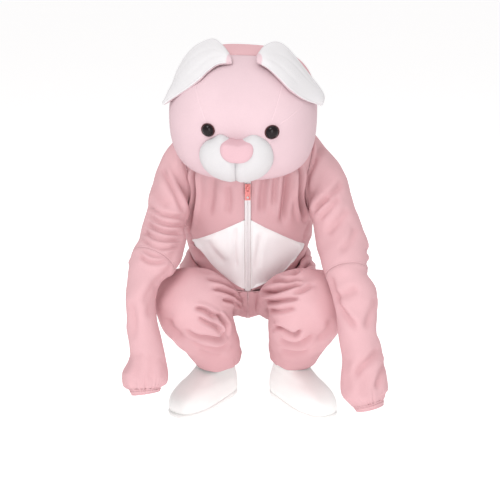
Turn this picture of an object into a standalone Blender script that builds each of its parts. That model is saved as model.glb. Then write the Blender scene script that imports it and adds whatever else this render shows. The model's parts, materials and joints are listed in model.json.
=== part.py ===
"""Bunny costume in a crouch: hollow jumpsuit, head mask and boots, on one frame.

The tables are in millimetres, x to the viewer's right, y away from the viewer and z up
from the floor. The frame's origin is the wearer's hold, between the shoulders.
"""
import math

import bpy
import numpy as np

# Driving sizes in metres
MM = 0.001
HOLD = (-0.006, -0.050, 0.720)

# Driving sizes in millimetres
MIDLINE = -6.0
FLEECE_WALL = 2.2
PLUSH_WALL = 5.0
EAR_WALL = 2.4
RUBBER_WALL = 3.2
CUFF_WALL = 2.0
SEAM = 0.4
ZIP_HALF = 8.0
ZIP_EDGE = 8.4

# Torso rings: front y, front z, back y, back z, half width, lift of the sides
TORSO = [
    (-37, 333, 205, 402, 166, 68),
    (-60, 388, 214, 462, 176, 50),
    (-88, 450, 206, 530, 180, 28),
    (-116, 518, 180, 596, 180, 10),
    (-142, 588, 146, 656, 178, 4),
    (-160, 650, 108, 712, 176, 6),
    (-166, 704, 66, 764, 170, 36.2),
    (-150, 744, 12, 800, 82, 10),
]
TORSO_ROUND = 2.4
TORSO_TOP = 7.0
TORSO_ANGLE_STEP = 1.5
TORSO_ROW_STEP = 0.05

# Armhole round the right side: angle from the front in degrees, torso row
ARMHOLE_FRONT = [(90, 6.15), (74, 5.85), (61, 5.2), (57, 4.4), (62, 3.65), (76, 3.1), (90, 2.95)]
ARMHOLE_BACK = [(90, 6.15), (100, 5.8), (107, 5.2), (109, 4.4), (107, 3.7), (100, 3.15), (90, 2.95)]
SHOULDER_ROWS = 2
ARMHOLE_ROWS = 9
SIDE_ROWS = 6
SIDE_SEAM = 90.0

# White belly edge: torso row and distance from the middle, for each side
BELLY_LEFT = [(3.64, 12), (3.32, 52), (2.90, 95), (2.42, 130), (1.86, 154),
              (1.60, 124), (1.14, 97), (0.62, 52), (0.20, 12)]
BELLY_RIGHT = [(3.64, 12), (3.34, 44), (2.94, 84), (2.30, 128), (1.45, 158),
               (0.98, 134), (0.74, 104), (0.50, 56), (0.20, 12)]
BELLY_FIRST_ROW = 8
FRONT_COLUMNS = 6
BACK_COLUMNS = 12
ZIP_ROWS = 18

# Crotch seam from the back waist to the front, y and z
CROTCH = [(205, 402), (228, 335), (222, 270), (184, 226), (124, 208), (64, 214), (12, 244), (-18, 284), (-37, 333)]
HIP_POINTS = 1 + FRONT_COLUMNS + BACK_COLUMNS // 2
CROTCH_POINTS = 8
LEG_FIRST_ANGLE = -62.0
LEG_BACK_ANGLE = 170.0
SEAT_TURNS = 3

# Seat of a leg, every 40 degrees from the front: distance from the middle, y, z
SEAT = [
    (22, -50, 320), (86, -62, 380), (148, -24, 414), (182, 45, 408), (184, 125, 378),
    (158, 195, 325), (108, 210, 250), (62, 165, 202), (26, 70, 208),
]

# Leg rings: inner point s and z, outer point s and z, half width, sideways shift
LEG_RINGS = [
    (72, 204, 194, 392, 100, 2),
    (122, 228, 238, 424, 107, 0),
    (160, 262, 286, 440, 110, -1),
    (178, 284, 336, 440, 110, -2),
    (186, 296, 380, 414, 108, -4),
    (188, 296, 406, 372, 105, -7),
    (184, 288, 401, 322, 102, -10),
    (174, 274, 366, 266, 98, -13),
    (150, 246, 308, 212, 91, -17),
    (108, 200, 242, 158, 80, -21),
    (54, 134, 197, 108, 66, -26),
]

# Each leg: side, hip x, hip y, heading outwards in degrees, extra sideways shift at the hem
LEGS = [("left", -1, -88, 118, 13.5, 0), ("right", 1, 80, 118, 13.5, 40)]

# Sleeve rings: x, y, z, half width, half depth
UPPER_RINGS = 8
LOWER_RINGS = 10
SLEEVES = {
    "left": {
        "side": -1,
        "upper": [
            (-206, -50, 650, 78, 74),
            (-204, -88, 609, 75, 72),
            (-225, -132, 562, 56, 64),
            (-229, -160, 524, 60, 62),
            (-235, -190, 500, 58, 61),
            (-250, -225, 478, 61, 60),
        ],
        "lower": [
            (-250, -225, 478, 61, 60),
            (-263, -243, 457, 51, 56),
            (-273, -258, 429, 41, 52),
            (-283, -278, 373, 36, 50),
            (-271, -292, 307, 44, 50),
            (-266, -304, 254, 44, 48),
            (-271, -316, 214, 59, 55),
            (-271, -326, 182, 57, 54),
            (-271, -330, 171, 41, 42),
        ],
        "cuff": [(-269, -334, 158, 37, 38)],
    },
    "right": {
        "side": 1,
        "upper": [
            (192, -50, 650, 78, 74),
            (204, -90, 611, 78, 72),
            (222, -136, 572, 61, 65),
            (234, -168, 534, 63, 64),
            (243, -204, 504, 64, 63),
            (248, -256, 458, 55, 58),
        ],
        "lower": [
            (248, -256, 458, 55, 58),
            (254, -272, 436, 54, 57),
            (268, -292, 403, 59, 56),
            (274, -308, 354, 50, 53),
            (279, -324, 287, 51, 52),
            (289, -338, 232, 54, 54),
            (295, -350, 179, 62, 58),
            (298, -356, 158, 52, 54),
            (303, -360, 145, 40, 40),
        ],
        "cuff": [(307, -364, 130, 36, 37)],
    },
}
# Which way a sleeve ring's first point faces: outwards and upwards, from the armhole down
SLEEVE_FACING = [(0.30, 0.95), (0.65, 0.75), (0.90, 0.40), (1.0, 0.15), (1.0, 0.0)]
# The sleeve's head stands out of the armhole, then keeps clear of the panels
ARMHOLE_LIP = 7.0
ARMHOLE_LIP_INWARD = 0.4
SLEEVE_CLEAR = 9.0
SETTLE_REACH = 45.0
SETTLE_TURNS = 8
# Way the first sleeve rings aim: outwards, y and z
SLEEVE_AIM = [(0.90, -0.22, -0.32), (0.66, -0.44, -0.60), (0.44, -0.50, -0.75)]
# Turn of the first rings' points about the arm in degrees, easing their panels' twist
SLEEVE_PHASE = [26, 18, 10, 4, 0]

# Head: centre, half sizes of its rounded block, tilt forward and turns in degrees
HEAD_CENTRE = (-16, -128, 846)
HEAD_WIDTH = 189.0
HEAD_FRONT = 176.0
HEAD_BACK = 168.0
HEAD_UP = 170.0
HEAD_DOWN = 160.0
HEAD_ROUND = 2.6
HEAD_TILT = 17.0
HEAD_TURN = -4.0
HEAD_ROLL = 1.5
# Height of the neck rim every 45 degrees from the front
HEAD_OPENING = [-144, -124, -94, -82, -78, -82, -94, -124]
HEAD_SEAM_Y = 4.0
SEAM_POINTS = 18
RIM_POINTS = 10
FACE_RINGS = 7
BACK_RINGS = 5
FACE_MIDDLE = -0.12
BACK_MIDDLE = 0.15

# Muzzle outline every 15 degrees from the right, distance from its middle
MUZZLE_CENTRE = (-6.0, -34.0)
MUZZLE = [91, 92, 92, 88, 81, 60, 50, 60, 78, 80, 87, 91, 91, 87, 81, 74, 68, 64, 62, 64, 68, 74, 81, 87]
MUZZLE_SHARES = [1.0, 0.97, 0.90, 0.78, 0.60, 0.38, 0.08]
MUZZLE_HEIGHT = 38.0
MUZZLE_FLATNESS = 2.6
MUZZLE_EDGE = 0.6
MUZZLE_RIM = 1.2
MUZZLE_VALLEY = 0.14
MUZZLE_VALLEY_WIDTH = 9.0
NOSE_CENTRE = (-5.0, -7.0)
NOSE = [40, 41, 32, 29, 32, 41, 40, 37, 34, 34, 34, 37]
NOSE_HEIGHT = 12.0
NOSE_CLEAR = 3.6

# Eyes on the face: name, x, z, radius, height
EYES = [("left", -75.5, 38.0, 17.5, 13.0), ("right", 80.5, 38.5, 18.5, 13.0)]

# Ears from the root to the tip: inner edge and outer edge, x y z
EARS = {
    "left": [
        ((-44.3, -238.3, 993.2), (-45.3, -220.3, 1006.2)),
        ((-76.3, -244.3, 992.2), (-68.3, -166.3, 1029.2)),
        ((-100.3, -254.3, 979.2), (-97.3, -122.3, 1040.2)),
        ((-124.3, -264.3, 958.2), (-145.3, -120.3, 1018.2)),
        ((-152.3, -256.3, 935.2), (-180.3, -144.3, 974.2)),
        ((-178.3, -241.3, 916.2), (-197.3, -166.3, 931.2)),
        ((-202.3, -220.3, 897.2), (-211.3, -186.3, 904.2)),
        ((-216.3, -203.3, 883.2), (-221.3, -198.3, 889.2)),
    ],
    "right": [
        ((16.5, -243.9, 995.5), (14.5, -225.9, 1007.5)),
        ((45.5, -265.9, 983.5), (36.5, -171.9, 1028.5)),
        ((69.5, -279.9, 964.5), (67.5, -131.9, 1033.5)),
        ((93.5, -289.9, 941.5), (98.5, -131.9, 1016.5)),
        ((118.5, -279.9, 920.5), (143.5, -157.9, 964.5)),
        ((138.5, -263.9, 905.5), (175.5, -177.9, 926.5)),
        ((160.5, -237.9, 892.5), (187.5, -193.9, 904.5)),
        ((175.5, -211.9, 882.5), (183.5, -205.9, 886.5)),
    ],
}
EAR_BULGE = 9.0
EAR_LENGTH_ROWS = 12
EAR_WIDTH_COLUMNS = 5

# Boots: side, ankle x, ankle y, toes out in degrees
BOOTS = [("left", -97, -3, 33.0), ("right", 116, -12.6, 33.0)]
# Boot outline by height: z, heel behind the ankle, toe before it, half width at the ball, at the heel
BOOT_RINGS = [
    (16.4, 60, 196, 49, 37), (28, 61, 198, 51, 39), (42, 61, 196, 51, 40), (54, 60, 188, 49, 41),
    (64, 59, 172, 46, 42), (73, 57, 146, 43, 43), (82, 55, 114, 42, 42), (94, 51, 84, 42, 42),
    (110, 46, 56, 42, 42), (134, 41, 52, 41, 41), (158, 37, 50, 41, 41),
]
SOLE_RINGS = [(0, 58, 193, 47, 35), (3, 61, 198, 50, 38), (13, 62, 200, 51, 39), (16, 61, 198, 50, 38)]
BOOT_POINTS = 20

# Zip slider and its pull tab
SLIDER_ROW = 5.22
SLIDER_WIDTH = 15.0
SLIDER_LENGTH = 19.0
SLIDER_THICK = 4.0
BRIDGE_WIDTH = 4.0
BRIDGE_LENGTH = 11.0
BRIDGE_RISE = 5.5
BRIDGE_WALL = 1.7
BRIDGE_ROOT = 1.0
TUNNEL_FLOOR = 0.05
SLIDER_LIFT = 0.7
PULL_LENGTH = 32.0
PULL_WIDTH = 15.0
PULL_THICK = 2.0
PULL_BAR = 2.0
PULL_PLAY = 0.6
PULL_WINDOW = (6.4, 6.2)
PULL_HOLE = 3.4
PULL_HOLE_EDGE = 4.0
CUTTER_REACH = 6.0

COLOURS = {
    "fleece": (0.80, 0.45, 0.49, 0.95),
    "light_plush": (0.91, 0.66, 0.70, 0.9),
    "white_plush": (0.90, 0.87, 0.88, 0.9),
    "nose_pink": (0.88, 0.52, 0.56, 0.85),
    "rubber": (0.86, 0.80, 0.76, 0.45),
    "coral": (0.80, 0.20, 0.20, 0.4),
    "tape": (0.88, 0.84, 0.85, 0.6),
    "black": (0.01, 0.008, 0.008, 0.06),
}


def clear_scene():
    for obj in list(bpy.data.objects):
        bpy.data.objects.remove(obj, do_unlink=True)


def material(name, colour_name):
    red, green, blue, rough = COLOURS[colour_name]
    mat = bpy.data.materials.new("mat_" + name)
    mat.use_nodes = True
    shader = mat.node_tree.nodes["Principled BSDF"]
    shader.inputs["Base Color"].default_value = (red, green, blue, 1.0)
    shader.inputs["Roughness"].default_value = rough
    shader.inputs["Metallic"].default_value = 0.0
    return mat


def add_mesh(name, points, faces, colour_name, origin=None):
    """Make a node from millimetre points on the floor's frame."""
    placed = np.asarray(points, float) * MM - np.array(HOLD)
    centre = np.zeros(3) if origin is None else np.asarray(origin, float) * MM - np.array(HOLD)
    mesh = bpy.data.meshes.new(name)
    mesh.from_pydata([tuple(p) for p in placed - centre], [], [tuple(f) for f in faces])
    mesh.update()
    obj = bpy.data.objects.new(name, mesh)
    obj.location = tuple(centre)
    obj.data.materials.append(material(name, colour_name))
    bpy.context.scene.collection.objects.link(obj)
    return obj


def unit(vectors):
    length = np.linalg.norm(vectors, axis=-1, keepdims=True)
    return vectors / np.maximum(length, 1e-9)


def spline(rows, t, closed=False):
    """Smooth values of a table's columns at row number t."""
    rows = np.asarray(rows, float)
    count = len(rows)
    t = np.asarray(t, float)
    if closed:
        i = np.floor(t).astype(int)
        picks = [(i + k) % count for k in (-1, 0, 1, 2)]
    else:
        t = np.clip(t, 0.0, count - 1)
        i = np.minimum(t.astype(int), count - 2)
        picks = [np.clip(i + k, 0, count - 1) for k in (-1, 0, 1, 2)]
    f = (t - i)[..., None]
    a, b, c, d = [rows[p] for p in picks]
    return 0.5 * (2 * b + (c - a) * f + (2 * a - 5 * b + 4 * c - d) * f**2
                  + (3 * b - a - 3 * c + d) * f**3)


def table_curve(rows, count):
    """Points evenly spaced in row number along a table."""
    return spline(rows, np.linspace(0, len(rows) - 1, count))


def grid_normals(grid, ring):
    """Surface direction at each point of a grid of rows and columns."""
    along = np.gradient(grid, axis=0)
    if ring:
        across = np.roll(grid, -1, axis=1) - np.roll(grid, 1, axis=1)
    else:
        across = np.gradient(grid, axis=1)
    return unit(np.cross(across, along))


def between(name, outer, inner, ring, colour_name):
    """Closed body between an outer and an inner grid of the same size."""
    rows, cols = outer.shape[:2]
    points = np.concatenate([outer.reshape(-1, 3), inner.reshape(-1, 3)])
    shift = rows * cols
    faces = []
    steps = cols if ring else cols - 1
    for r in range(rows - 1):
        for c in range(steps):
            n = (c + 1) % cols
            a, b, d, e = r * cols + c, r * cols + n, (r + 1) * cols + n, (r + 1) * cols + c
            faces.append((a, b, d, e))
            faces.append((shift + a, shift + e, shift + d, shift + b))
    for c in range(steps):
        n = (c + 1) % cols
        last = (rows - 1) * cols
        faces.append((c, shift + c, shift + n, n))
        faces.append((last + n, shift + last + n, shift + last + c, last + c))
    if not ring:
        for r in range(rows - 1):
            a, b = r * cols, (r + 1) * cols
            faces.append((a, b, shift + b, shift + a))
            a, b = a + cols - 1, b + cols - 1
            faces.append((a, shift + a, shift + b, b))
    return finish_body(name, points, faces, colour_name)


def turned_out(points, faces):
    """Faces of a closed body in the order that faces them outwards."""
    volume = 0.0
    for face in faces:
        for k in range(1, len(face) - 1):
            volume += np.dot(points[face[0]], np.cross(points[face[k]], points[face[k + 1]]))
    return faces if volume > 0 else [face[::-1] for face in faces]


def finish_body(name, points, faces, colour_name):
    return add_mesh(name, points, turned_out(points, faces), colour_name)


def disc_between(name, outer, inner, colour_name):
    """Closed body from two dished discs; row 0 of each grid is the rim, the last row is one point."""
    rows, cols = outer.shape[:2]
    ring_rows = rows - 1
    shift = ring_rows * cols + 1
    points = []
    for grid in (outer, inner):
        points.append(grid[:-1].reshape(-1, 3))
        points.append(grid[-1, :1])
    points = np.concatenate(points)
    faces = []
    for r in range(ring_rows - 1):
        for c in range(cols):
            n = (c + 1) % cols
            a, b, d, e = r * cols + c, r * cols + n, (r + 1) * cols + n, (r + 1) * cols + c
            faces.append((a, b, d, e))
            faces.append((shift + a, shift + e, shift + d, shift + b))
    last = (ring_rows - 1) * cols
    pole = ring_rows * cols
    for c in range(cols):
        n = (c + 1) % cols
        faces.append((last + c, last + n, pole))
        faces.append((shift + last + n, shift + last + c, shift + pole))
        faces.append((c, shift + c, shift + n, n))
    return finish_body(name, points, faces, colour_name)


def pull_in(grid, normals, edges):
    """Move the first and last columns of a sheet into it by half a seam where they meet another."""
    out = grid.copy()
    side = unit(np.cross(np.gradient(grid, axis=0), normals))
    for at_seam, col, near in ((edges[0], 0, 1), (edges[1], -1, -2)):
        if at_seam:
            inward = np.sum(side[:, col] * (grid[:, near] - grid[:, col]), axis=-1, keepdims=True)
            out[:, col] += side[:, col] * np.sign(inward) * SEAM / 2
    return out


def torso(angle, row):
    """Point on the torso at an angle in degrees from the front and a torso row."""
    angle = np.radians(np.asarray(angle, float))
    row = np.asarray(row, float)
    fy, fz, by, bz, width, lift = np.moveaxis(spline(TORSO, row), -1, 0)
    cos, sin = np.cos(angle), np.sin(angle)
    power = 2.0 / TORSO_ROUND
    deep = np.sign(cos) * np.abs(cos) ** power
    wide = np.sign(sin) * np.abs(sin) ** power
    x = MIDLINE + width * wide
    y = (fy + by) / 2 + (fy - by) / 2 * deep
    z = (fz + bz) / 2 + (fz - bz) / 2 * deep + lift * sin**2
    return np.stack([x, y, z], axis=-1)


def torso_normals(angle, row):
    """Outward direction of the torso's surface."""
    angle, row = np.asarray(angle, float), np.asarray(row, float)
    across = torso(angle + TORSO_ANGLE_STEP, row) - torso(angle - TORSO_ANGLE_STEP, row)
    upward = torso(angle, row + TORSO_ROW_STEP) - torso(angle, row - TORSO_ROW_STEP)
    return unit(np.cross(across, upward))


def angle_at(distance, row):
    """Angle in degrees on the torso's front at a distance from the middle."""
    width = spline(TORSO, row)[..., 4]
    share = np.clip(np.asarray(distance, float) / width, 0, 1)
    return np.degrees(np.arcsin(share ** (TORSO_ROUND / 2.0)))


def outer_edge(armhole):
    """Outer edge of a panel from the neck to the hip: angle and torso row of each grid row."""
    shoulder = [(90.0, TORSO_TOP + (armhole[0][1] - TORSO_TOP) * k / SHOULDER_ROWS)
                for k in range(SHOULDER_ROWS)]
    arm = table_curve(armhole, ARMHOLE_ROWS + 1)
    side = [(SIDE_SEAM, armhole[-1][1] * (1 - k / SIDE_ROWS)) for k in range(1, SIDE_ROWS + 1)]
    return np.concatenate([np.array(shoulder), arm, np.array(side)])


def front_inner_edge(belly):
    """Inner edge of a front panel: along the zip, round the belly, to the hip."""
    rows = SHOULDER_ROWS + ARMHOLE_ROWS + SIDE_ROWS + 1
    zip_rows = np.linspace(TORSO_TOP, belly[0][0], BELLY_FIRST_ROW + 1)[:-1]
    edge = [(float(angle_at(ZIP_EDGE, t)), t) for t in zip_rows]
    round_belly = table_curve(belly, rows - 1 - BELLY_FIRST_ROW)
    edge += [(float(angle_at(d, t)), t) for t, d in round_belly]
    edge.append((float(angle_at(ZIP_EDGE, 0.0)), 0.0))
    return np.array(edge)


def torso_sheet(name, angle, row, edges, colour_name):
    """Cloth on the torso; edges say which of the first and last columns lie at a seam."""
    grid = torso(angle, row)
    normals = torso_normals(angle, row)
    outer = pull_in(grid, normals, edges)
    between(name, outer, outer - normals * FLEECE_WALL, False, colour_name)


def build_torso():
    for name, sign, belly in (("left", -1, BELLY_LEFT), ("right", 1, BELLY_RIGHT)):
        inner = front_inner_edge(belly)
        outer = outer_edge(ARMHOLE_FRONT)
        share = np.linspace(0, 1, FRONT_COLUMNS)[None, :, None]
        param = inner[:, None, :] * (1 - share) + outer[:, None, :] * share
        torso_sheet("front_" + name, sign * param[..., 0], param[..., 1], (True, True), "fleece")
        edge = inner[BELLY_FIRST_ROW:-1]
        zip_side = np.stack([angle_at(ZIP_EDGE, edge[:, 1]), edge[:, 1]], axis=-1)
        share = np.linspace(0, 1, FRONT_COLUMNS - 1)[None, :, None]
        param = zip_side[:, None, :] * (1 - share) + edge[:, None, :] * share
        torso_sheet("belly_" + name, sign * param[..., 0], param[..., 1], (False, True), "white_plush")
    edge = outer_edge(ARMHOLE_BACK)
    share = np.linspace(0, 1, BACK_COLUMNS + 1)[None, :, None]
    far = np.stack([360 - edge[:, 0], edge[:, 1]], axis=-1)
    param = edge[:, None, :] * (1 - share) + far[:, None, :] * share
    torso_sheet("back_panel", param[..., 0], param[..., 1], (True, True), "fleece")
    rows = np.linspace(TORSO_TOP, 0.0, ZIP_ROWS)
    across = np.array([-1.0, 0.0, 1.0]) * ZIP_HALF
    angle = np.stack([np.sign(a) * angle_at(abs(a), rows) for a in across], axis=1)
    torso_sheet("zip_tape", angle, np.repeat(rows[:, None], len(across), axis=1), (False, False), "tape")


def armhole_ring(sign):
    """Points of the armhole from the shoulder round the front and back again."""
    front = table_curve(ARMHOLE_FRONT, ARMHOLE_ROWS + 1)
    back = table_curve(ARMHOLE_BACK, ARMHOLE_ROWS + 1)[-2:0:-1]
    param = np.concatenate([front, back])
    angle, row = sign * param[:, 0], param[:, 1]
    points = torso(angle, row)
    normals = torso_normals(angle, row)
    inward = unit(points.mean(axis=0) - points)
    first = points + inward * SEAM * 0.75 + normals * SEAM / 4
    return first, first + normals * ARMHOLE_LIP + inward * ARMHOLE_LIP_INWARD, inward


def settle_sleeve(rings):
    """Ease the rings after the first where they lie near the torso, keeping them clear of it."""
    angle, row = np.meshgrid(np.arange(0.0, 360.0, 3.0), np.arange(0.0, TORSO_TOP, 0.1), indexing="ij")
    surface = torso(angle, row).reshape(-1, 3)
    normals = torso_normals(angle, row).reshape(-1, 3)
    rings = rings.copy()
    for turn in range(SETTLE_TURNS):
        for r in range(1, len(rings) - 1):
            for c in range(rings.shape[1]):
                point = rings[r, c]
                near = np.argmin(np.sum((surface - point) ** 2, axis=1))
                height = np.dot(point - surface[near], normals[near])
                share = 0.5 * np.clip(1 - height / SETTLE_REACH, 0, 1)
                around = rings[r, c - 1] + rings[r, (c + 1) % rings.shape[1]]
                middle = (around + rings[r - 1, c] + rings[r + 1, c]) / 4
                point = point * (1 - share) + middle * share
                height = np.dot(point - surface[near], normals[near])
                rings[r, c] = point + normals[near] * max(0.0, SLEEVE_CLEAR - height)
    return rings


def path_rings(rows, side, before):
    """Rings square to a path; the first angle is on the outer side, then the front."""
    rows = np.asarray(rows, float)
    centres = rows[:, :3]
    padded = np.concatenate([[before], centres, [2 * centres[-1] - centres[-2]]])
    tangents = unit(padded[2:] - padded[:-2])
    angle = np.arange(2 * ARMHOLE_ROWS) * math.pi / ARMHOLE_ROWS
    for k, (outwards, y, z) in enumerate(SLEEVE_AIM):
        tangents[k] = unit(np.array([side * outwards, y, z]))
    rings = []
    for k, (centre, tangent, row) in enumerate(zip(centres, tangents, rows)):
        outwards, upwards = SLEEVE_FACING[min(k, len(SLEEVE_FACING) - 1)]
        out = np.array([side * outwards, 0.0, upwards])
        out = unit(out - tangent * np.dot(out, tangent))
        front = np.cross(out, tangent) * -side
        turned = angle + math.radians(SLEEVE_PHASE[min(k, len(SLEEVE_PHASE) - 1)])
        ring = centre + np.outer(np.cos(turned) * row[3], out) + np.outer(np.sin(turned) * row[4], front)
        rings.append(ring)
    return np.array(rings)


def fill_rings(rings, count):
    """Add smooth rings between the given ones."""
    flat = rings.reshape(len(rings), -1)
    return spline(flat, np.linspace(0, len(rings) - 1, count)).reshape(count, -1, 3)


def tube_normals(rings):
    """Outward directions of a tube's surface."""
    normals = grid_normals(rings, True)
    middles = rings.mean(axis=1, keepdims=True)
    if np.sum(normals * (rings - middles)) < 0:
        normals = -normals
    return normals


def build_sleeves():
    for name, sleeve in SLEEVES.items():
        side = sleeve["side"]
        hole, lip, inward = armhole_ring(side)
        path = sleeve["upper"] + sleeve["lower"][1:] + sleeve["cuff"]
        rings = path_rings(path, side, lip.mean(axis=0))
        cuff = rings[-2:].copy()
        square = unit(np.cross(cuff[0, 0] - cuff[0, 4], cuff[0, 2] - cuff[0, 4]))
        forward = cuff[1].mean(axis=0) - cuff[0].mean(axis=0)
        cuff[0] += square * np.sign(np.dot(square, forward)) * SEAM
        elbow = len(sleeve["upper"])
        upper = fill_rings(np.concatenate([[lip], rings[:elbow]]), UPPER_RINGS - 1)
        upper = np.concatenate([[hole], settle_sleeve(upper)])
        lower = fill_rings(rings[elbow - 1:-1], LOWER_RINGS)
        arm = np.concatenate([upper, lower[1:]])
        normals = tube_normals(arm)
        normals[0] = -inward
        inner = arm - normals * FLEECE_WALL
        seam = unit(arm[UPPER_RINGS] - arm[UPPER_RINGS - 2]) * SEAM / 2
        for label, rows, end, sign in (("sleeve_upper_", slice(0, UPPER_RINGS), -1, -1),
                                       ("sleeve_lower_", slice(UPPER_RINGS - 1, None), 0, 1)):
            out_part, in_part = arm[rows].copy(), inner[rows].copy()
            out_part[end] += seam * sign
            in_part[end] += seam * sign
            between(label + name, out_part, in_part, True, "fleece")
        between("cuff_" + name, cuff, cuff - tube_normals(cuff) * CUFF_WALL, True, "fleece")


def hip_angles():
    """Angles round half the torso's lower edge, on the same points as its panels."""
    front = np.linspace(float(angle_at(ZIP_EDGE, 0.0)), SIDE_SEAM, FRONT_COLUMNS)
    back = np.linspace(SIDE_SEAM, 180.0, BACK_COLUMNS // 2 + 1)[1:]
    return np.concatenate([[0.0], front, back])


def leg_angles():
    hip = LEG_FIRST_ANGLE + hip_angles() * (LEG_BACK_ANGLE - LEG_FIRST_ANGLE) / 180.0
    seat = np.linspace(LEG_BACK_ANGLE, 360 + LEG_FIRST_ANGLE, CROTCH_POINTS + 2)[1:-1]
    return np.concatenate([hip, seat])


def build_legs():
    angles = leg_angles()
    for name, side, hip_x, hip_y, heading, hem_shift in LEGS:
        around = hip_angles()
        hip = torso(side * around, np.zeros(HIP_POINTS)) - np.array([0, 0, SEAM])
        seam = table_curve(CROTCH, CROTCH_POINTS + 2)[1:-1]
        crotch = np.column_stack([np.full(len(seam), MIDLINE), seam])
        first = np.concatenate([hip, crotch])
        seat = spline(SEAT, (angles - LEG_FIRST_ANGLE) / 40.0, closed=True)
        seat[:, 0] = MIDLINE + side * seat[:, 0]
        forward = np.array([side * math.sin(math.radians(heading)), -math.cos(math.radians(heading)), 0])
        across = np.array([side * math.cos(math.radians(heading)), math.sin(math.radians(heading)), 0])
        rings = [first, seat]
        turn = np.radians(angles)
        for k, (s_in, z_in, s_out, z_out, half, shift) in enumerate(LEG_RINGS):
            more = hem_shift * (k / (len(LEG_RINGS) - 1)) ** 2
            base = np.array([hip_x, hip_y, 0.0]) + across * (shift + more)
            low = base + forward * s_in + np.array([0, 0, z_in])
            high = base + forward * s_out + np.array([0, 0, z_out])
            ring = (low + high) / 2 + np.outer(np.cos(turn), (high - low) / 2)
            rings.append(ring + np.outer(np.sin(turn) * half, across))
        rings = np.array(rings)
        for turn_again in range(SEAT_TURNS):
            for r in (1, 2):
                beside = np.roll(rings[r], 1, axis=0) + np.roll(rings[r], -1, axis=0)
                rings[r] = (rings[r] + (beside + rings[r - 1] + rings[r + 1]) / 4) / 2
        keep_side(rings, side, SEAM / 2)
        normals = tube_normals(rings)
        at_hip = torso_normals(side * around, np.zeros(HIP_POINTS))
        normals[0, :HIP_POINTS] = unit(normals[0, :HIP_POINTS] + at_hip)
        normals[0, HIP_POINTS:, 0] = 0.0
        normals[0] = unit(normals[0])
        inner = rings - normals * FLEECE_WALL
        keep_side(inner, side, SEAM / 2)
        between("leg_" + name, rings, inner, True, "fleece")


def keep_side(points, side, distance):
    """Keep points on their own side of the middle seam."""
    reach = (points[..., 0] - MIDLINE) * side
    points[..., 0] = MIDLINE + side * np.maximum(reach, distance)


def head_axes():
    tilt, turn, roll = [math.radians(a) for a in (HEAD_TILT, HEAD_TURN, HEAD_ROLL)]
    about_x = np.array([[1, 0, 0], [0, math.cos(tilt), -math.sin(tilt)], [0, math.sin(tilt), math.cos(tilt)]])
    about_z = np.array([[math.cos(turn), -math.sin(turn), 0], [math.sin(turn), math.cos(turn), 0], [0, 0, 1]])
    about_y = np.array([[math.cos(roll), 0, math.sin(roll)], [0, 1, 0], [-math.sin(roll), 0, math.cos(roll)]])
    return about_z @ about_x @ about_y


def to_head(points):
    return np.asarray(points) @ head_axes().T + np.array(HEAD_CENTRE)


def head_halves(points):
    """Half sizes of the head that apply to each point."""
    back = np.where(points[..., 1] > 0, HEAD_BACK, HEAD_FRONT)
    up = np.where(points[..., 2] > 0, HEAD_UP, HEAD_DOWN)
    return np.stack([np.full(back.shape, HEAD_WIDTH), back, up], axis=-1)


def on_head(directions):
    """Where directions from the head's middle meet its surface."""
    size = (np.abs(directions / head_halves(directions)) ** HEAD_ROUND).sum(axis=-1, keepdims=True)
    return directions / size ** (1.0 / HEAD_ROUND)


def head_normals(points):
    halves = head_halves(points)
    slope = np.sign(points) * np.abs(points) ** (HEAD_ROUND - 1) / halves**HEAD_ROUND
    return unit(slope)


def face_point(x, z):
    """Front surface of the head at a place on the face."""
    x, z = np.asarray(x, float), np.asarray(z, float)
    up = np.where(z > 0, HEAD_UP, HEAD_DOWN)
    left = 1 - np.abs(x / HEAD_WIDTH) ** HEAD_ROUND - np.abs(z / up) ** HEAD_ROUND
    y = -HEAD_FRONT * np.maximum(left, 1e-6) ** (1.0 / HEAD_ROUND)
    return np.stack([x, y, z], axis=-1)


def arc_between(start, end, share):
    """Directions turned evenly from one to the other."""
    cos = np.clip(np.sum(start * end, axis=-1, keepdims=True), -1, 1)
    angle = np.arccos(cos)
    return (np.sin((1 - share) * angle) * start + np.sin(share * angle) * end) / np.sin(angle)


def opening_point(turn):
    """Point of the neck rim at an angle in degrees from the front."""
    direction = np.array([math.sin(math.radians(turn)), -math.cos(math.radians(turn)), 0.0])
    depth = HEAD_FRONT if direction[1] < 0 else HEAD_BACK
    flat = np.array([HEAD_WIDTH, depth, 1.0])
    reach = (np.abs(direction / flat) ** HEAD_ROUND).sum()
    height = float(outline(HEAD_OPENING, turn % 360))
    left = 1 - abs(height / HEAD_DOWN) ** HEAD_ROUND
    point = direction * (left / reach) ** (1.0 / HEAD_ROUND)
    point[2] = height
    return point


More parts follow.
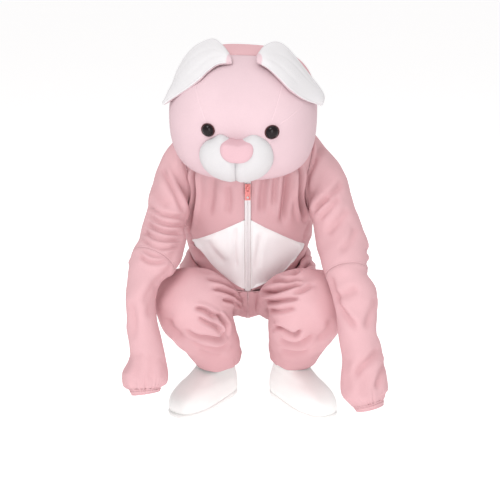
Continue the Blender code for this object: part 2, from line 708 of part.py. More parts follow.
def build_head():
    start = opening_point(-90.0)
    first = math.atan2(-start[2], -start[0])
    turns = np.linspace(-first, math.pi + first, SEAM_POINTS + 1)
    seam = np.array([[-math.cos(a), HEAD_SEAM_Y / HEAD_UP, math.sin(a)] for a in turns])
    seam = on_head(seam)
    left_corner = math.degrees(math.atan2(seam[0][0], -seam[0][1]))
    right_corner = math.degrees(math.atan2(seam[-1][0], -seam[-1][1]))
    seam[0] = opening_point(left_corner)
    seam[-1] = opening_point(right_corner)
    front_rim = [opening_point(a) for a in np.linspace(right_corner, left_corner, RIM_POINTS + 1)[1:-1]]
    back_rim = [opening_point(a) for a in np.linspace(right_corner, 360 + left_corner, RIM_POINTS + 1)[1:-1]]
    for name, rim, pole, rings, colour, gap in (
        ("head_face", front_rim, -1, FACE_RINGS, "light_plush", -SEAM / 2),
        ("head_back", back_rim, 1, BACK_RINGS, "fleece", SEAM / 2),
    ):
        level = FACE_MIDDLE if pole < 0 else BACK_MIDDLE
        edge = unit(np.concatenate([seam, np.array(rim)]))
        middle = np.tile(np.array([0.0, float(pole), level]), (len(edge), 1))
        middle = unit(middle)
        rows = [on_head(edge)]
        rows[0][:SEAM_POINTS + 1, 1] += gap
        for k in range(1, rings):
            share = k / rings
            rows.append(on_head(arc_between(edge, middle, share)))
        rows.append(on_head(middle))
        outer = np.array(rows)
        inner = outer - head_normals(outer) * PLUSH_WALL
        inner[0, :SEAM_POINTS + 1, 1] = outer[0, :SEAM_POINTS + 1, 1]
        disc_between(name, to_head(outer), to_head(inner), colour)


def outline(table, angle, closed=True):
    """Distance from the middle at an angle in degrees from the right."""
    column = np.array(table, float)[:, None]
    return spline(column, np.asarray(angle, float) / (360.0 / len(table)), closed)[..., 0]


def muzzle_dome(x, z):
    """Height of the stuffed muzzle over the face, without its middle seam."""
    dx, dz = x - MUZZLE_CENTRE[0], z - MUZZLE_CENTRE[1]
    reach = np.hypot(dx, dz)
    share = np.clip(reach / outline(MUZZLE, np.degrees(np.arctan2(dz, dx)) % 360), 0, 1)
    return MUZZLE_HEIGHT * (1 - share**MUZZLE_FLATNESS) ** MUZZLE_EDGE


def muzzle_rise(x, z):
    """Height of the muzzle, sinking towards its middle seam."""
    valley = np.exp(-((x - MUZZLE_CENTRE[0]) / MUZZLE_VALLEY_WIDTH) ** 2)
    return muzzle_dome(x, z) * (1 - MUZZLE_VALLEY * valley)


def build_muzzle():
    for name, first in (("right", -90.0), ("left", 90.0)):
        angle = np.linspace(first, first + 180.0, 15)
        share = np.array(MUZZLE_SHARES)
        reach = outline(MUZZLE, angle % 360)[None, :] * share[:, None]
        side = 1 if name == "right" else -1
        dx = reach * np.cos(np.radians(angle))[None, :]
        dx = side * np.maximum(side * dx, SEAM / 2)
        x = MUZZLE_CENTRE[0] + dx
        z = MUZZLE_CENTRE[1] + reach * np.sin(np.radians(angle))[None, :]
        base = face_point(x, z)
        normals = head_normals(base)
        normals[..., 0] *= np.clip(np.abs(dx) / 20.0, 0, 1)
        outer = base + normals * (SEAM + MUZZLE_RIM + muzzle_rise(x, z))[..., None]
        inner = base + normals * SEAM
        between("muzzle_" + name, to_head(outer), to_head(inner), False, "white_plush")


def pad_on_face(name, cx, cz, reach, rings, base_rise, height, power, colour_name):
    """Dome with a round or shaped rim lying on the face or the muzzle."""
    angle = np.arange(len(reach)) * 360.0 / len(reach)
    share = np.linspace(1.0, 0.0, rings)
    x = cx + share[:, None] * reach[None, :] * np.cos(np.radians(angle))[None, :]
    z = cz + share[:, None] * reach[None, :] * np.sin(np.radians(angle))[None, :]
    base = face_point(x, z)
    normals = head_normals(base)
    lift = base_rise(x, z) + SEAM
    dome = height * (1 - share[:, None] ** power) ** 0.5 + 1.0
    outer = base + normals * (lift + dome)[..., None]
    inner = base + normals * lift[..., None]
    disc_between(name, to_head(outer), to_head(inner), colour_name)


def build_face_parts():
    build_muzzle()
    reach = outline(NOSE, np.arange(20) * 18.0)
    pad_on_face("nose", NOSE_CENTRE[0], NOSE_CENTRE[1], reach, 5,
                lambda x, z: muzzle_dome(x, z) + MUZZLE_RIM + NOSE_CLEAR, NOSE_HEIGHT, 2.4, "nose_pink")
    for name, x, z, radius, height in EYES:
        pad_on_face("eye_" + name, x, z, np.full(16, radius), 5,
                    lambda px, pz: np.zeros(np.shape(px)), height, 2.0, "black")


def build_ears():
    for name, rows in EARS.items():
        flat = np.array(rows, float).reshape(len(rows), 6)
        edges = spline(flat, np.linspace(0, len(rows) - 1, EAR_LENGTH_ROWS)).reshape(-1, 2, 3)
        share = np.linspace(0, 1, EAR_WIDTH_COLUMNS)[None, :, None]
        grid = edges[:, :1] * (1 - share) + edges[:, 1:] * share
        normals = grid_normals(grid, False)
        if normals[..., 1].mean() > 0:
            normals = -normals
        width = np.linalg.norm(edges[:, 1] - edges[:, 0], axis=-1)[:, None, None]
        bulge = EAR_BULGE * np.minimum(width / 60.0, 1.0) * 4 * share * (1 - share)
        front = grid + normals * bulge
        normals = grid_normals(front, False)
        if normals[..., 1].mean() > 0:
            normals = -normals
        between("ear_lining_" + name, front, front - normals * EAR_WALL, False, "white_plush")
        back = front - normals * (EAR_WALL + SEAM)
        between("ear_backing_" + name, back, back - normals * EAR_WALL, False, "light_plush")


def foot_ring(x, y, toes_out, side, row, inset=0.0):
    """Foot outline at one height."""
    z, heel, toe, ball, back = row
    angle = np.arange(BOOT_POINTS) * 2 * math.pi / BOOT_POINTS
    cos, sin = np.cos(angle), np.sin(angle)
    long = np.where(cos > 0, toe - inset, heel - inset) * np.sign(cos) * np.abs(cos) ** 0.86
    ahead = np.clip(long / max(toe, 1.0), 0, 1)
    half = (back + (ball - back) * np.minimum(1.0, ahead * 1.6)) - inset
    wide = half * np.sign(sin) * np.abs(sin) ** 0.8
    turn = math.radians(toes_out)
    forward = np.array([side * math.sin(turn), -math.cos(turn)])
    across = np.array([side * math.cos(turn), math.sin(turn)])
    plan = np.array([x, y]) + np.outer(long, forward) + np.outer(wide, across)
    return np.column_stack([plan, np.full(BOOT_POINTS, float(z))])


def build_boots():
    for name, x, y, toes_out in BOOTS:
        side = -1 if name == "left" else 1
        outer = np.array([foot_ring(x, y, toes_out, side, row) for row in BOOT_RINGS])
        inner = np.array([foot_ring(x, y, toes_out, side, row, RUBBER_WALL) for row in BOOT_RINGS])
        inner[1:-1, :, 2] -= RUBBER_WALL / 2
        between("boot_upper_" + name, outer, inner, True, "rubber")
        rings = np.array([foot_ring(x, y, toes_out, side, row) for row in SOLE_RINGS])
        count = BOOT_POINTS
        points = rings.reshape(-1, 3)
        faces = []
        for r in range(len(rings) - 1):
            for c in range(count):
                n = (c + 1) % count
                faces.append((r * count + c, r * count + n, (r + 1) * count + n, (r + 1) * count + c))
        faces.append(tuple(range(count))[::-1])
        faces.append(tuple(range((len(rings) - 1) * count, len(rings) * count)))
        finish_body("boot_sole_" + name, points, faces, "rubber")


def box_faces():
    return [(0, 3, 2, 1), (4, 5, 6, 7), (0, 1, 5, 4), (1, 2, 6, 5), (2, 3, 7, 6), (3, 0, 4, 7)]


def cutter(name, obj):
    obj.hide_render = True
    obj.display_type = "WIRE"
    obj.name = name
    return obj


def boolean(target, tool, operation):
    mod = target.modifiers.new("cut_" + tool.name, "BOOLEAN")
    mod.operation = operation
    mod.solver = "EXACT"
    mod.object = tool
    bpy.context.view_layer.objects.active = target
    for obj in bpy.context.selected_objects:
        obj.select_set(False)
    target.select_set(True)
    bpy.ops.object.modifier_apply(modifier=mod.name)
    bpy.data.objects.remove(tool, do_unlink=True)


def local_box(name, place, axes, low, high, colour_name, origin):
    """Box in the zip's own axes: across, outwards, up the zip."""
    corners = [(0, 0, 0), (1, 0, 0), (1, 1, 0), (0, 1, 0), (0, 0, 1), (1, 0, 1), (1, 1, 1), (0, 1, 1)]
    low, high = np.array(low, float), np.array(high, float)
    local = np.array([low + (high - low) * np.array(c) for c in corners])
    points = place + local @ axes
    return add_mesh(name, points, turned_out(points, box_faces()), colour_name, origin)


def turned_rod(name, place, axes, centre, axis, radius, half, sides, colour_name, origin):
    """Round rod in the zip's own axes, along across (0) or outwards (1)."""
    turn = np.arange(sides) * 2 * math.pi / sides
    others = [k for k in range(3) if k != axis]
    rings = []
    for end in (-half, half):
        ring = np.tile(np.array(centre, float), (sides, 1))
        ring[:, axis] += end
        ring[:, others[0]] += radius * np.cos(turn)
        ring[:, others[1]] += radius * np.sin(turn)
        rings.append(ring)
    local = np.concatenate(rings)
    faces = [(c, (c + 1) % sides, sides + (c + 1) % sides, sides + c) for c in range(sides)]
    faces.append(tuple(range(sides))[::-1])
    faces.append(tuple(range(sides, 2 * sides)))
    points = place + local @ axes
    return add_mesh(name, points, turned_out(points, faces), colour_name, origin)


def build_zip():
    place = torso(0.0, SLIDER_ROW)
    above = torso(0.0, SLIDER_ROW + 0.15)
    up = unit(above - place)
    across = np.array([1.0, 0.0, 0.0])
    outward = unit(np.cross(across, up))
    if outward[1] > 0:
        outward = -outward
    axes = np.stack([across, outward, up])
    half_width, half_length = SLIDER_WIDTH / 2, SLIDER_LENGTH / 2
    base = SLIDER_LIFT
    top = base + SLIDER_THICK
    slider = local_box("zip_slider", place, axes, (-half_width, base, -half_length),
                       (half_width, top, half_length), "coral", None)
    half_bridge = BRIDGE_WIDTH / 2
    bridge = local_box("bridge", place, axes, (-half_bridge, top - BRIDGE_ROOT, -BRIDGE_LENGTH / 2),
                       (half_bridge, top + BRIDGE_RISE, BRIDGE_LENGTH / 2), "coral", None)
    boolean(slider, bridge, "UNION")
    tunnel = local_box("tunnel", place, axes, (-half_width, top + TUNNEL_FLOOR, BRIDGE_WALL - BRIDGE_LENGTH / 2),
                       (half_width, top + BRIDGE_RISE - BRIDGE_WALL, BRIDGE_LENGTH / 2 - BRIDGE_WALL), "coral", None)
    boolean(slider, cutter("tunnel", tunnel), "DIFFERENCE")
    bar_out = top + TUNNEL_FLOOR + PULL_PLAY + PULL_BAR / 2
    bar_up = -BRIDGE_LENGTH / 2 + BRIDGE_WALL + PULL_PLAY + PULL_BAR / 2
    bar = np.array([0.0, bar_out, bar_up])
    axis_point = place + bar @ axes
    hang = np.stack([across, np.array([0.0, -1.0, 0.0]), np.array([0.0, 0.0, 1.0])])
    half = PULL_THICK / 2
    window_wide, window_high = PULL_WINDOW
    pull = local_box("zip_pull", axis_point, hang, (-PULL_WIDTH / 2, -half, -PULL_LENGTH + PULL_BAR / 2),
                     (PULL_WIDTH / 2, half, PULL_BAR / 2), "coral", axis_point)
    window = local_box("window", axis_point, hang, (-window_wide / 2, -CUTTER_REACH, -PULL_BAR / 2 - window_high),
                       (window_wide / 2, CUTTER_REACH, -PULL_BAR / 2), "coral", None)
    boolean(pull, cutter("window", window), "DIFFERENCE")
    low = -PULL_LENGTH + PULL_BAR / 2 + PULL_HOLE + PULL_HOLE_EDGE
    hole = turned_rod("hole", axis_point, hang, (0, 0, low), 1, PULL_HOLE, CUTTER_REACH, 16, "coral", None)
    boolean(pull, cutter("hole", hole), "DIFFERENCE")


def main():
    clear_scene()
    build_torso()
    build_sleeves()
    build_legs()
    build_head()
    build_face_parts()
    build_ears()
    build_boots()
    build_zip()


main()
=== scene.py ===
"""Bunny costume: fleece, plush, rubber and zip pieces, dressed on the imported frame.

The pattern tables are in millimetres on the floor's frame: x to the viewer's right, y away
from the viewer, z up from the floor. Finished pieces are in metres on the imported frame.
"""

import json
import math

import bpy
import numpy as np
from bpy.props import FloatProperty, FloatVectorProperty, PointerProperty
from mathutils import Matrix, Vector

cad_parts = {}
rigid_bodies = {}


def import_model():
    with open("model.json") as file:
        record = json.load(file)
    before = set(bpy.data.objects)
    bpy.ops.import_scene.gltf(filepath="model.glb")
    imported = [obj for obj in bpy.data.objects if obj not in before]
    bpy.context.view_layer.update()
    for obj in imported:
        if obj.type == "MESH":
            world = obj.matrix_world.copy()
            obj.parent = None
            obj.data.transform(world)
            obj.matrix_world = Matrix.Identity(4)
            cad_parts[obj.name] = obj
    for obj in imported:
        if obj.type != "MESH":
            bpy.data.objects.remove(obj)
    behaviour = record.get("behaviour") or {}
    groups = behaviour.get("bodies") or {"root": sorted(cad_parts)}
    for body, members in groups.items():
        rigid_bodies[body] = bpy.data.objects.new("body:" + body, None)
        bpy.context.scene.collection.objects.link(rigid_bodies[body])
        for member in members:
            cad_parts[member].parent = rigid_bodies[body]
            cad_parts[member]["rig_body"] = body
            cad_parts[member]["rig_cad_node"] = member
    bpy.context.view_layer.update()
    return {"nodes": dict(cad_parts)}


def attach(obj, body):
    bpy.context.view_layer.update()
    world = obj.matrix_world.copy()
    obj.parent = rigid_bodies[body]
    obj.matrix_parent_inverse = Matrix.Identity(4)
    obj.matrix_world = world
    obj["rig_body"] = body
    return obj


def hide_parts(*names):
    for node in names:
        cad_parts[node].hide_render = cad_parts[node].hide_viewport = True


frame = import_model()

bl_info = {
    "name": "Bunny costume dresser",
    "version": (1, 0, 0),
    "blender": (4, 5, 0),
    "location": "View3D > Sidebar > Costume",
    "description": "Makes the cloth, plush and rubber pieces of a bunny costume",
    "category": "Object",
}

MM = 0.001
HOLD = np.array([-0.006, -0.050, 0.720])
MIDLINE = -6.0
SEAM = 0.4
ZIP_HALF = 8.0
ZIP_EDGE = 8.4

# Torso rings: front y, front z, back y, back z, half width, lift of the sides
TORSO = [
    (-37, 333, 205, 402, 166, 68), (-60, 388, 214, 462, 176, 50), (-88, 450, 206, 530, 180, 28),
    (-116, 518, 180, 596, 180, 10), (-142, 588, 146, 656, 178, 4), (-160, 650, 108, 712, 176, 6),
    (-166, 704, 66, 764, 170, 36.2), (-150, 744, 12, 800, 82, 10),
]
TORSO_ROUND = 2.4
TORSO_TOP = 7.0
ARMHOLE_FRONT = [(90, 6.15), (74, 5.85), (61, 5.2), (57, 4.4), (62, 3.65), (76, 3.1), (90, 2.95)]
ARMHOLE_BACK = [(90, 6.15), (100, 5.8), (107, 5.2), (109, 4.4), (107, 3.7), (100, 3.15), (90, 2.95)]
SHOULDER_ROWS, ARMHOLE_ROWS, SIDE_ROWS = 2, 9, 6
BELLY_LEFT = [(3.64, 12), (3.32, 52), (2.90, 95), (2.42, 130), (1.86, 154),
              (1.60, 124), (1.14, 97), (0.62, 52), (0.20, 12)]
BELLY_RIGHT = [(3.64, 12), (3.34, 44), (2.94, 84), (2.30, 128), (1.45, 158),
               (0.98, 134), (0.74, 104), (0.50, 56), (0.20, 12)]
BELLY_FIRST_ROW = 8
FRONT_COLUMNS, BACK_COLUMNS, ZIP_ROWS = 6, 12, 18

CROTCH = [(205, 402), (228, 335), (222, 270), (184, 226), (124, 208), (64, 214), (12, 244), (-18, 284),
          (-37, 333)]
CROTCH_POINTS = 8
LEG_FIRST_ANGLE, LEG_BACK_ANGLE, SEAT_TURNS = -62.0, 170.0, 3
SEAT = [
    (22, -50, 320), (86, -62, 380), (148, -24, 414), (182, 45, 408), (184, 125, 378),
    (158, 195, 325), (108, 210, 250), (62, 165, 202), (26, 70, 208),
]
LEG_RINGS = [
    (72, 204, 194, 392, 100, 2), (122, 228, 238, 424, 107, 0), (160, 262, 286, 440, 110, -1),
    (178, 284, 336, 440, 110, -2), (186, 296, 380, 414, 108, -4), (188, 296, 406, 372, 105, -7),
    (184, 288, 401, 322, 102, -10), (174, 274, 366, 266, 98, -13), (150, 246, 308, 212, 91, -17),
    (108, 200, 242, 158, 80, -21), (54, 134, 197, 108, 66, -26),
]
LEGS = [("left", -1, -88, 118, 13.5, 0), ("right", 1, 80, 118, 13.5, 40)]

UPPER_RINGS, LOWER_RINGS = 8, 10
SLEEVES = {
    "left": {
        "side": -1,
        "upper": [
            (-206, -50, 650, 78, 74), (-204, -88, 609, 75, 72), (-225, -132, 562, 56, 64),
            (-229, -160, 524, 60, 62), (-235, -190, 500, 58, 61), (-250, -225, 478, 61, 60),
        ],
        "lower": [
            (-250, -225, 478, 61, 60), (-263, -243, 457, 51, 56), (-273, -258, 429, 41, 52),
            (-283, -278, 373, 36, 50), (-271, -292, 307, 44, 50), (-266, -304, 254, 44, 48),
            (-271, -316, 214, 59, 55), (-271, -326, 182, 57, 54), (-271, -330, 171, 41, 42),
        ],
        "cuff": [(-269, -334, 158, 37, 38)],
    },
    "right": {
        "side": 1,
        "upper": [
            (192, -50, 650, 78, 74), (204, -90, 611, 78, 72), (222, -136, 572, 61, 65),
            (234, -168, 534, 63, 64), (243, -204, 504, 64, 63), (248, -256, 458, 55, 58),
        ],
        "lower": [
            (248, -256, 458, 55, 58), (254, -272, 436, 54, 57), (268, -292, 403, 59, 56),
            (274, -308, 354, 50, 53), (279, -324, 287, 51, 52), (289, -338, 232, 54, 54),
            (295, -350, 179, 62, 58), (298, -356, 158, 52, 54), (303, -360, 145, 40, 40),
        ],
        "cuff": [(307, -364, 130, 36, 37)],
    },
}
SLEEVE_FACING = [(0.30, 0.95), (0.65, 0.75), (0.90, 0.40), (1.0, 0.15), (1.0, 0.0)]
ARMHOLE_LIP, ARMHOLE_LIP_INWARD, SLEEVE_CLEAR = 7.0, 0.4, 9.0
SETTLE_REACH, SETTLE_TURNS = 45.0, 8
SLEEVE_AIM = [(0.90, -0.22, -0.32), (0.66, -0.44, -0.60), (0.44, -0.50, -0.75)]
SLEEVE_PHASE = [26, 18, 10, 4, 0]

HEAD_CENTRE = (-16, -128, 846)
HEAD_WIDTH, HEAD_FRONT, HEAD_BACK, HEAD_UP, HEAD_DOWN = 189.0, 176.0, 168.0, 170.0, 160.0
HEAD_ROUND = 2.6
HEAD_TILT, HEAD_TURN, HEAD_ROLL = 17.0, -4.0, 1.5
HEAD_OPENING = [-144, -124, -94, -82, -78, -82, -94, -124]
HEAD_SEAM_Y = -7.0
SEAM_POINTS, RIM_POINTS, FACE_RINGS, BACK_RINGS = 18, 10, 7, 5
FACE_MIDDLE, BACK_MIDDLE = -0.12, 0.15
CHIN_RISE = 11.0
# Depth and reach in mm of the mask's seams, and how far its soft unevenness stays off them
MASK_STITCH, MASK_STITCH_WIDTH, MASK_FLAT, MASK_SOFT = 1.6, 3.0, 18.0, 1.2
# Darts of the face: straight lines in its own x and z, and the side that faces the middle
DARTS = [([(-113, 134), (-82, 62)], -1), ([(101, 138), (80, 72)], 1), ([(140, 80), (100, 60)], 1)]

MUZZLE_CENTRE = (-6.0, -34.0)
MUZZLE = [91, 92, 92, 88, 81, 60, 50, 60, 78, 80, 87, 91, 91, 87, 81, 74, 68, 64, 62, 64, 68, 74, 81, 87]
MUZZLE_HEIGHT, MUZZLE_FLATNESS, MUZZLE_EDGE = 38.0, 2.6, 0.6
MUZZLE_RIM, MUZZLE_VALLEY, MUZZLE_VALLEY_WIDTH = 1.2, 0.14, 9.0
MUZZLE_SEAM_WIDTH, MUZZLE_SEAM_DEPTH = 3.0, 2.4
NOSE_CENTRE = (-2.5, 1.0)
NOSE_DOME, NOSE_LIFT, PLUMP_REACH = 7.0, 0.8, 84.0
NOSE = [37, 40, 27, 21.5, 27, 40, 37, 30, 23.5, 21, 23.5, 30]
# Eyes: side, x and z on the face, radius and height of the dome in mm
EYES = [("left", -75.5, 41.0, 17.5, 13.0), ("right", 80.5, 41.0, 18.5, 13.0)]

DOME_SHARE, EYE_LIFT = 0.92, 0.6

# Ears from the root to the tip: x y z of the inner edge, then of the outer edge
EARS = {
    "left": [
        (-44.3, -238.3, 993.2, -45.3, -220.3, 1006.2), (-76.3, -244.3, 992.2, -68.3, -166.3, 1029.2),
        (-100.3, -254.3, 979.2, -97.3, -122.3, 1040.2), (-124.3, -264.3, 958.2, -145.3, -120.3, 1018.2),
        (-152.3, -256.3, 935.2, -180.3, -144.3, 974.2), (-178.3, -241.3, 916.2, -197.3, -166.3, 931.2),
        (-202.3, -220.3, 897.2, -211.3, -186.3, 904.2), (-216.3, -203.3, 883.2, -221.3, -198.3, 889.2),
    ],
    "right": [
        (16.5, -243.9, 995.5, 14.5, -225.9, 1007.5), (45.5, -265.9, 983.5, 36.5, -171.9, 1028.5),
        (69.5, -279.9, 964.5, 67.5, -131.9, 1033.5), (93.5, -289.9, 941.5, 98.5, -131.9, 1016.5),
        (118.5, -279.9, 920.5, 143.5, -157.9, 964.5), (138.5, -263.9, 905.5, 175.5, -177.9, 926.5),
        (160.5, -237.9, 892.5, 187.5, -193.9, 904.5), (175.5, -211.9, 882.5, 183.5, -205.9, 886.5),
    ],
}
EAR_BULGE, EAR_WALL, EAR_RIM = 9.0, 2.4, 5.0
EAR_ROWS, EAR_COLUMNS = 96, 49
# Soft grooves of an ear: place across, half width, depth in mm, start and end down the ear
EAR_GROOVES = [(0.34, 0.06, 1.2, 0.05, 0.60), (0.58, 0.05, 0.9, 0.10, 0.8), (0.80, 0.05, 1.0, 0.25, 0.85)]

# Boots: side, where the ankle stands, toes turned out in degrees
BOOTS = [("left", -97, -3, 35.0), ("right", 116, -12.6, 33.0)]
# Boot outline by height: z, heel behind the ankle, toe before it, half width at the ball, at the heel
BOOT_RINGS = [
    (16.4, 60, 187, 60, 48), (28, 61, 190, 62, 51), (42, 61, 188, 62, 51), (54, 60, 181, 60, 51),
    (64, 59, 167, 57, 50), (73, 57, 146, 53, 48), (82, 55, 118, 48, 46), (94, 51, 88, 44, 43),
    (110, 46, 56, 42, 42), (134, 41, 52, 41, 41), (158, 37, 50, 41, 41),
]
SOLE_RINGS = [
    (0, 58, 185, 57, 46), (2, 60.5, 188.5, 60, 48.5), (4, 61.5, 190, 61.5, 49.5),
    (12, 62, 192, 62.5, 50.5), (14.5, 61.5, 191.5, 62, 50), (16, 60, 189, 60.5, 48.5),
]
BOOT_POINTS, BOOT_ROWS, RUBBER_WALL = 112, 61, 3.2
BOOT_END, BOOT_SIDE, BOOT_WIDENS = 0.78, 0.64, 1.6

# Camera: how far it looks down in degrees, its distance, the point it looks at and half its view there
CAMERA_DOWN, CAMERA_AWAY = 17.0, 3.0
CAMERA_AIM = (0.006, -0.050, -0.245)
CAMERA_HALF_VIEW = 0.675
PICTURE = 500
# Lamps: name, size in metres, watts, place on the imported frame
LAMPS = [
    ("key", 1.5, 42.0, (-0.9, -2.2, 2.2)), ("fill", 2.0, 26.0, (0.5, -3.2, 0.3)),
    ("top", 2.0, 14.0, (0.2, 0.3, 2.6)), ("rear", 2.2, 14.0, (0.3, 2.6, 1.6)),
]
LAMP_AIM = (0, -0.05, -0.2)
SKY_COLOUR, SKY_STRENGTH, FLOOR_GLOW = (1.0, 0.985, 0.985, 1.0), 0.56, 0.45

